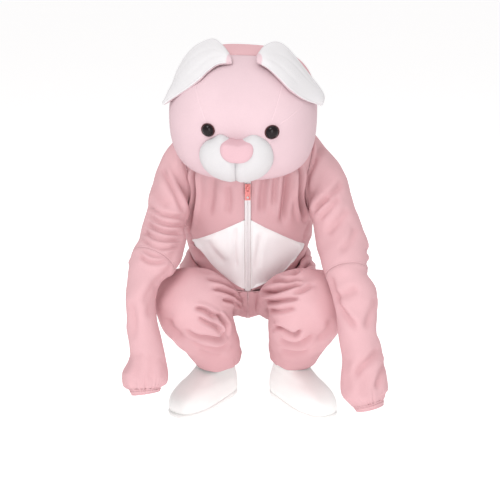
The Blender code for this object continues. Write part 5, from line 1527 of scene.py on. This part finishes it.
class CostumeMuzzle(bpy.types.Operator):
    """Stuffed muzzle in two halves, and the nose"""

    bl_idname = "costume.muzzle"
    bl_label = "Muzzle and nose"

    def execute(self, context):
        for name, first in (("right", -90.0), ("left", 90.0)):
            side = 1 if name == "right" else -1
            angle = np.linspace(first, first + 180.0, 91)
            share = 1 - np.linspace(0, 1, 34) ** 1.6 * 0.999
            reach = outline(MUZZLE, angle % 360)[None, :] * share[:, None]
            dx = reach * np.cos(np.radians(angle))[None, :]
            dx = side * np.maximum(side * dx, SEAM / 2)
            x = MUZZLE_CENTRE[0] + dx
            z = MUZZLE_CENTRE[1] + reach * np.sin(np.radians(angle))[None, :]
            base = face_point(x, z)
            normals = head_normals(base)
            normals[..., 0] *= np.clip(np.abs(dx) / 20.0, 0, 1)
            seam = np.exp(-(np.abs(dx) / MUZZLE_SEAM_WIDTH) ** 1.4) * MUZZLE_SEAM_DEPTH
            rise = SEAM + MUZZLE_RIM + muzzle_rise(x, z) - seam * smooth_step(muzzle_dome(x, z), 2.0, 12.0)
            outer = base + normals * rise[..., None]
            inner = base + normals * SEAM
            obj = shell("stuffed_muzzle_" + name, place(to_head(outer)), place(to_head(inner)), False,
                        np.stack([x, z], axis=-1) * MM, {"seam": np.abs(dx) * MM + 0.004})
            dress(obj, "muzzle", "muzzle_" + name)
        angle = np.arange(72) * 5.0
        reach = outline(NOSE, angle)
        share = 1 - np.linspace(0, 1, 20) ** 1.5
        x = NOSE_CENTRE[0] + share[:, None] * reach * np.cos(np.radians(angle))
        z = NOSE_CENTRE[1] + share[:, None] * reach * np.sin(np.radians(angle))
        base = face_point(x, z)
        normals = head_normals(base)
        on_muzzle = muzzle_dome(x, z)
        reach = np.hypot(x - MUZZLE_CENTRE[0], z - MUZZLE_CENTRE[1]) / PLUMP_REACH
        plump = MUZZLE_HEIGHT * (1 - np.clip(reach, 0, 1) ** 2.6) ** 0.6
        rim = smooth_step(share[:, None], 0.92, 1.0)
        lift = on_muzzle * rim + np.maximum(plump, on_muzzle) * (1 - rim) + MUZZLE_RIM + SEAM
        dome = NOSE_DOME * (1 - share[:, None] ** 3.4) ** 0.5
        outer = base + normals * (lift + NOSE_LIFT + dome)[..., None]
        inner = base + normals * (np.minimum(lift, on_muzzle + MUZZLE_RIM) - 1.0 * share[:, None])[..., None]
        obj = shell("stuffed_nose", place(to_head(outer)), place(to_head(inner)), True,
                    np.stack([x, z], axis=-1) * MM, {"seam": np.full(x.shape, 0.02)}, disc=True)
        dress(obj, "nose_pink", "nose")
        return {"FINISHED"}


class CostumeEyes(bpy.types.Operator):
    """Glossy domed eyes, each in a dark brown rim"""

    bl_idname = "costume.eyes"
    bl_label = "Eyes"

    def execute(self, context):
        for name, x, z, radius, height in EYES:
            base = face_point(x, z)
            normal = unit(head_normals(base))
            spot = place(to_head(base + normal * EYE_LIFT))
            turn = turned_to(unit(to_head(base + normal) - to_head(base)))
            nothing_selected()
            bpy.ops.mesh.primitive_uv_sphere_add(segments=64, ring_count=32, radius=1.0)
            dome = named("eye_dome_" + name)
            bpy.ops.object.mode_set(mode="EDIT")
            bpy.ops.mesh.select_all(action="SELECT")
            bpy.ops.mesh.bisect(plane_co=(0, 0, 0), plane_no=(0, 0, 1), clear_inner=True, use_fill=True)
            bpy.ops.object.mode_set(mode="OBJECT")
            dome.scale = ((radius - 2.4) * MM, (radius - 1.2) * MM, height * DOME_SHARE * MM)
            dome.matrix_world = Matrix.Translation(spot) @ turn @ Matrix.Diagonal((*dome.scale, 1.0))
            apply_place(dome)
            apply_modifier(dome, "BEVEL", width=0.0004, segments=2, limit_method="ANGLE",
                           angle_limit=math.radians(60))
            smooth_shaded(dome, 60.0)
            dress(dome, "eye_black", "eye_" + name)
            nothing_selected()
            bpy.ops.mesh.primitive_torus_add(major_segments=72, minor_segments=16,
                                             major_radius=(radius - 1.9) * MM, minor_radius=2.0 * MM)
            rim = named("eye_rim_" + name)
            rim.matrix_world = Matrix.Translation(spot) @ turn @ Matrix.Diagonal((1, 1, 0.8, 1.0))
            apply_place(rim)
            smooth_shaded(rim, 60.0)
            dress(rim, "eye_rim")
        return {"FINISHED"}


class CostumeEars(bpy.types.Operator):
    """Folded ears: white lining over pink backing"""

    bl_idname = "costume.ears"
    bl_label = "Ears"

    def execute(self, context):
        for name, rows in EARS.items():
            edges = spline(rows, np.linspace(0, len(rows) - 1, EAR_ROWS)).reshape(-1, 2, 3)
            share = np.linspace(0, 1, EAR_COLUMNS)[None, :, None]
            grid = edges[:, :1] * (1 - share) + edges[:, 1:] * share
            normals = normals_towards(grid, False, FORWARD)
            width = np.linalg.norm(edges[:, 1] - edges[:, 0], axis=-1)[:, None]
            u = share[..., 0]
            v = np.linspace(0, 1, len(edges))[:, None]
            broad = np.minimum(width / 60.0, 1.0)
            bulge = EAR_BULGE * broad * 4 * u * (1 - u)
            for centre, half, deep, start, end in EAR_GROOVES:
                line = centre + 0.09 * np.sin(3 * v + centre * 9)
                shown = smooth_step(v, start, start + 0.15) * (1 - smooth_step(v, end - 0.2, end))
                bulge = bulge - deep * bell(u - line, half) * shown * broad
            ends = np.minimum(v * 6, 1) * np.minimum((1 - v) * 9, 1)
            edge_gap = np.minimum(u, 1 - u) * width
            bulge = bulge - 0.9 * bell(edge_gap, 2.6) * ends
            front = grid + normals * bulge[..., None]
            normals = normals_towards(front, False, FORWARD)
            down, across = lengths_along(place(front), False)
            uvs = np.stack([across, down], axis=-1)
            seam = np.minimum(edge_gap * MM, 0.05) + 0 * v
            middle = front.mean(axis=1, keepdims=True)
            wider = front + (front - middle) * (EAR_RIM / np.maximum(width, 20.0))[..., None]
            band = 1 - smooth_step(down, 0.013, 0.016)
            for label, material, top, deep in (
                ("ear_lining_", "ear_lining", front, 0),
                ("ear_backing_", "light_plush", wider, EAR_WALL + SEAM),
            ):
                obj = shell("plush_" + label + name, place(top - normals * deep),
                            place(top - normals * (deep + EAR_WALL)), False, uvs, {"seam": seam, "band": band})
                dress(obj, material, label + name)
        return {"FINISHED"}


class CostumeBoots(bpy.types.Operator):
    """Rubber boots: smooth uppers and soles"""

    bl_idname = "costume.boots"
    bl_label = "Boots"

    def execute(self, context):
        for name, x, y, toes_out in BOOTS:
            side = 1 if name == "right" else -1
            rows = table_curve(BOOT_RINGS, BOOT_ROWS)
            outer = np.array([foot_ring(x, y, toes_out, side, row) for row in rows])
            inner = np.array([foot_ring(x, y, toes_out, side, row, RUBBER_WALL) for row in rows])
            upper = shell("rubber_boot_" + name, place(outer), place(inner), True)
            dress(upper, "rubber", "boot_upper_" + name)
            rows = np.array(SOLE_RINGS, float)
            rings = place(np.array([foot_ring(x, y, toes_out, side, row) for row in rows]))
            count, last = BOOT_POINTS, len(rows) - 1
            faces = [[r * count + i, r * count + (i + 1) % count, (r + 1) * count + (i + 1) % count,
                      (r + 1) * count + i] for r in range(last) for i in range(count)]
            faces += [list(range(count))[::-1], [last * count + i for i in range(count)]]
            if signed_area(rings[0]) < 0:
                faces = [face[::-1] for face in faces]
            sole = new_mesh("rubber_sole_" + name, rings.reshape(-1, 3), faces)
            dress(sole, "rubber", "boot_sole_" + name)
        return {"FINISHED"}


PIECES = (CostumeStage, CostumeTorso, CostumeZip, CostumeSleeves, CostumeLegs, CostumeHead,
          CostumeMuzzle, CostumeEyes, CostumeEars, CostumeBoots)


class CostumePanel(bpy.types.Panel):
    bl_idname = "VIEW3D_PT_costume"
    bl_label = "Bunny costume"
    bl_space_type = "VIEW_3D"
    bl_region_type = "UI"
    bl_category = "Costume"

    def draw(self, context):
        for group in (context.scene.costume_sizes, context.scene.costume_colours):
            for key in group.__annotations__:
                self.layout.prop(group, key)
        for piece in PIECES:
            self.layout.operator(piece.bl_idname)


CLASSES = (CostumeSizes, CostumeColours, *PIECES, CostumePanel)


def register():
    for item in CLASSES:
        bpy.utils.register_class(item)
    bpy.types.Scene.costume_sizes = PointerProperty(type=CostumeSizes)
    bpy.types.Scene.costume_colours = PointerProperty(type=CostumeColours)


def unregister():
    del bpy.types.Scene.costume_colours
    del bpy.types.Scene.costume_sizes
    for item in reversed(CLASSES):
        bpy.utils.unregister_class(item)


def main():
    register()
    for piece in PIECES:
        group, call = piece.bl_idname.split(".")
        getattr(getattr(bpy.ops, group), call)()


if __name__ == "__main__":
    main()
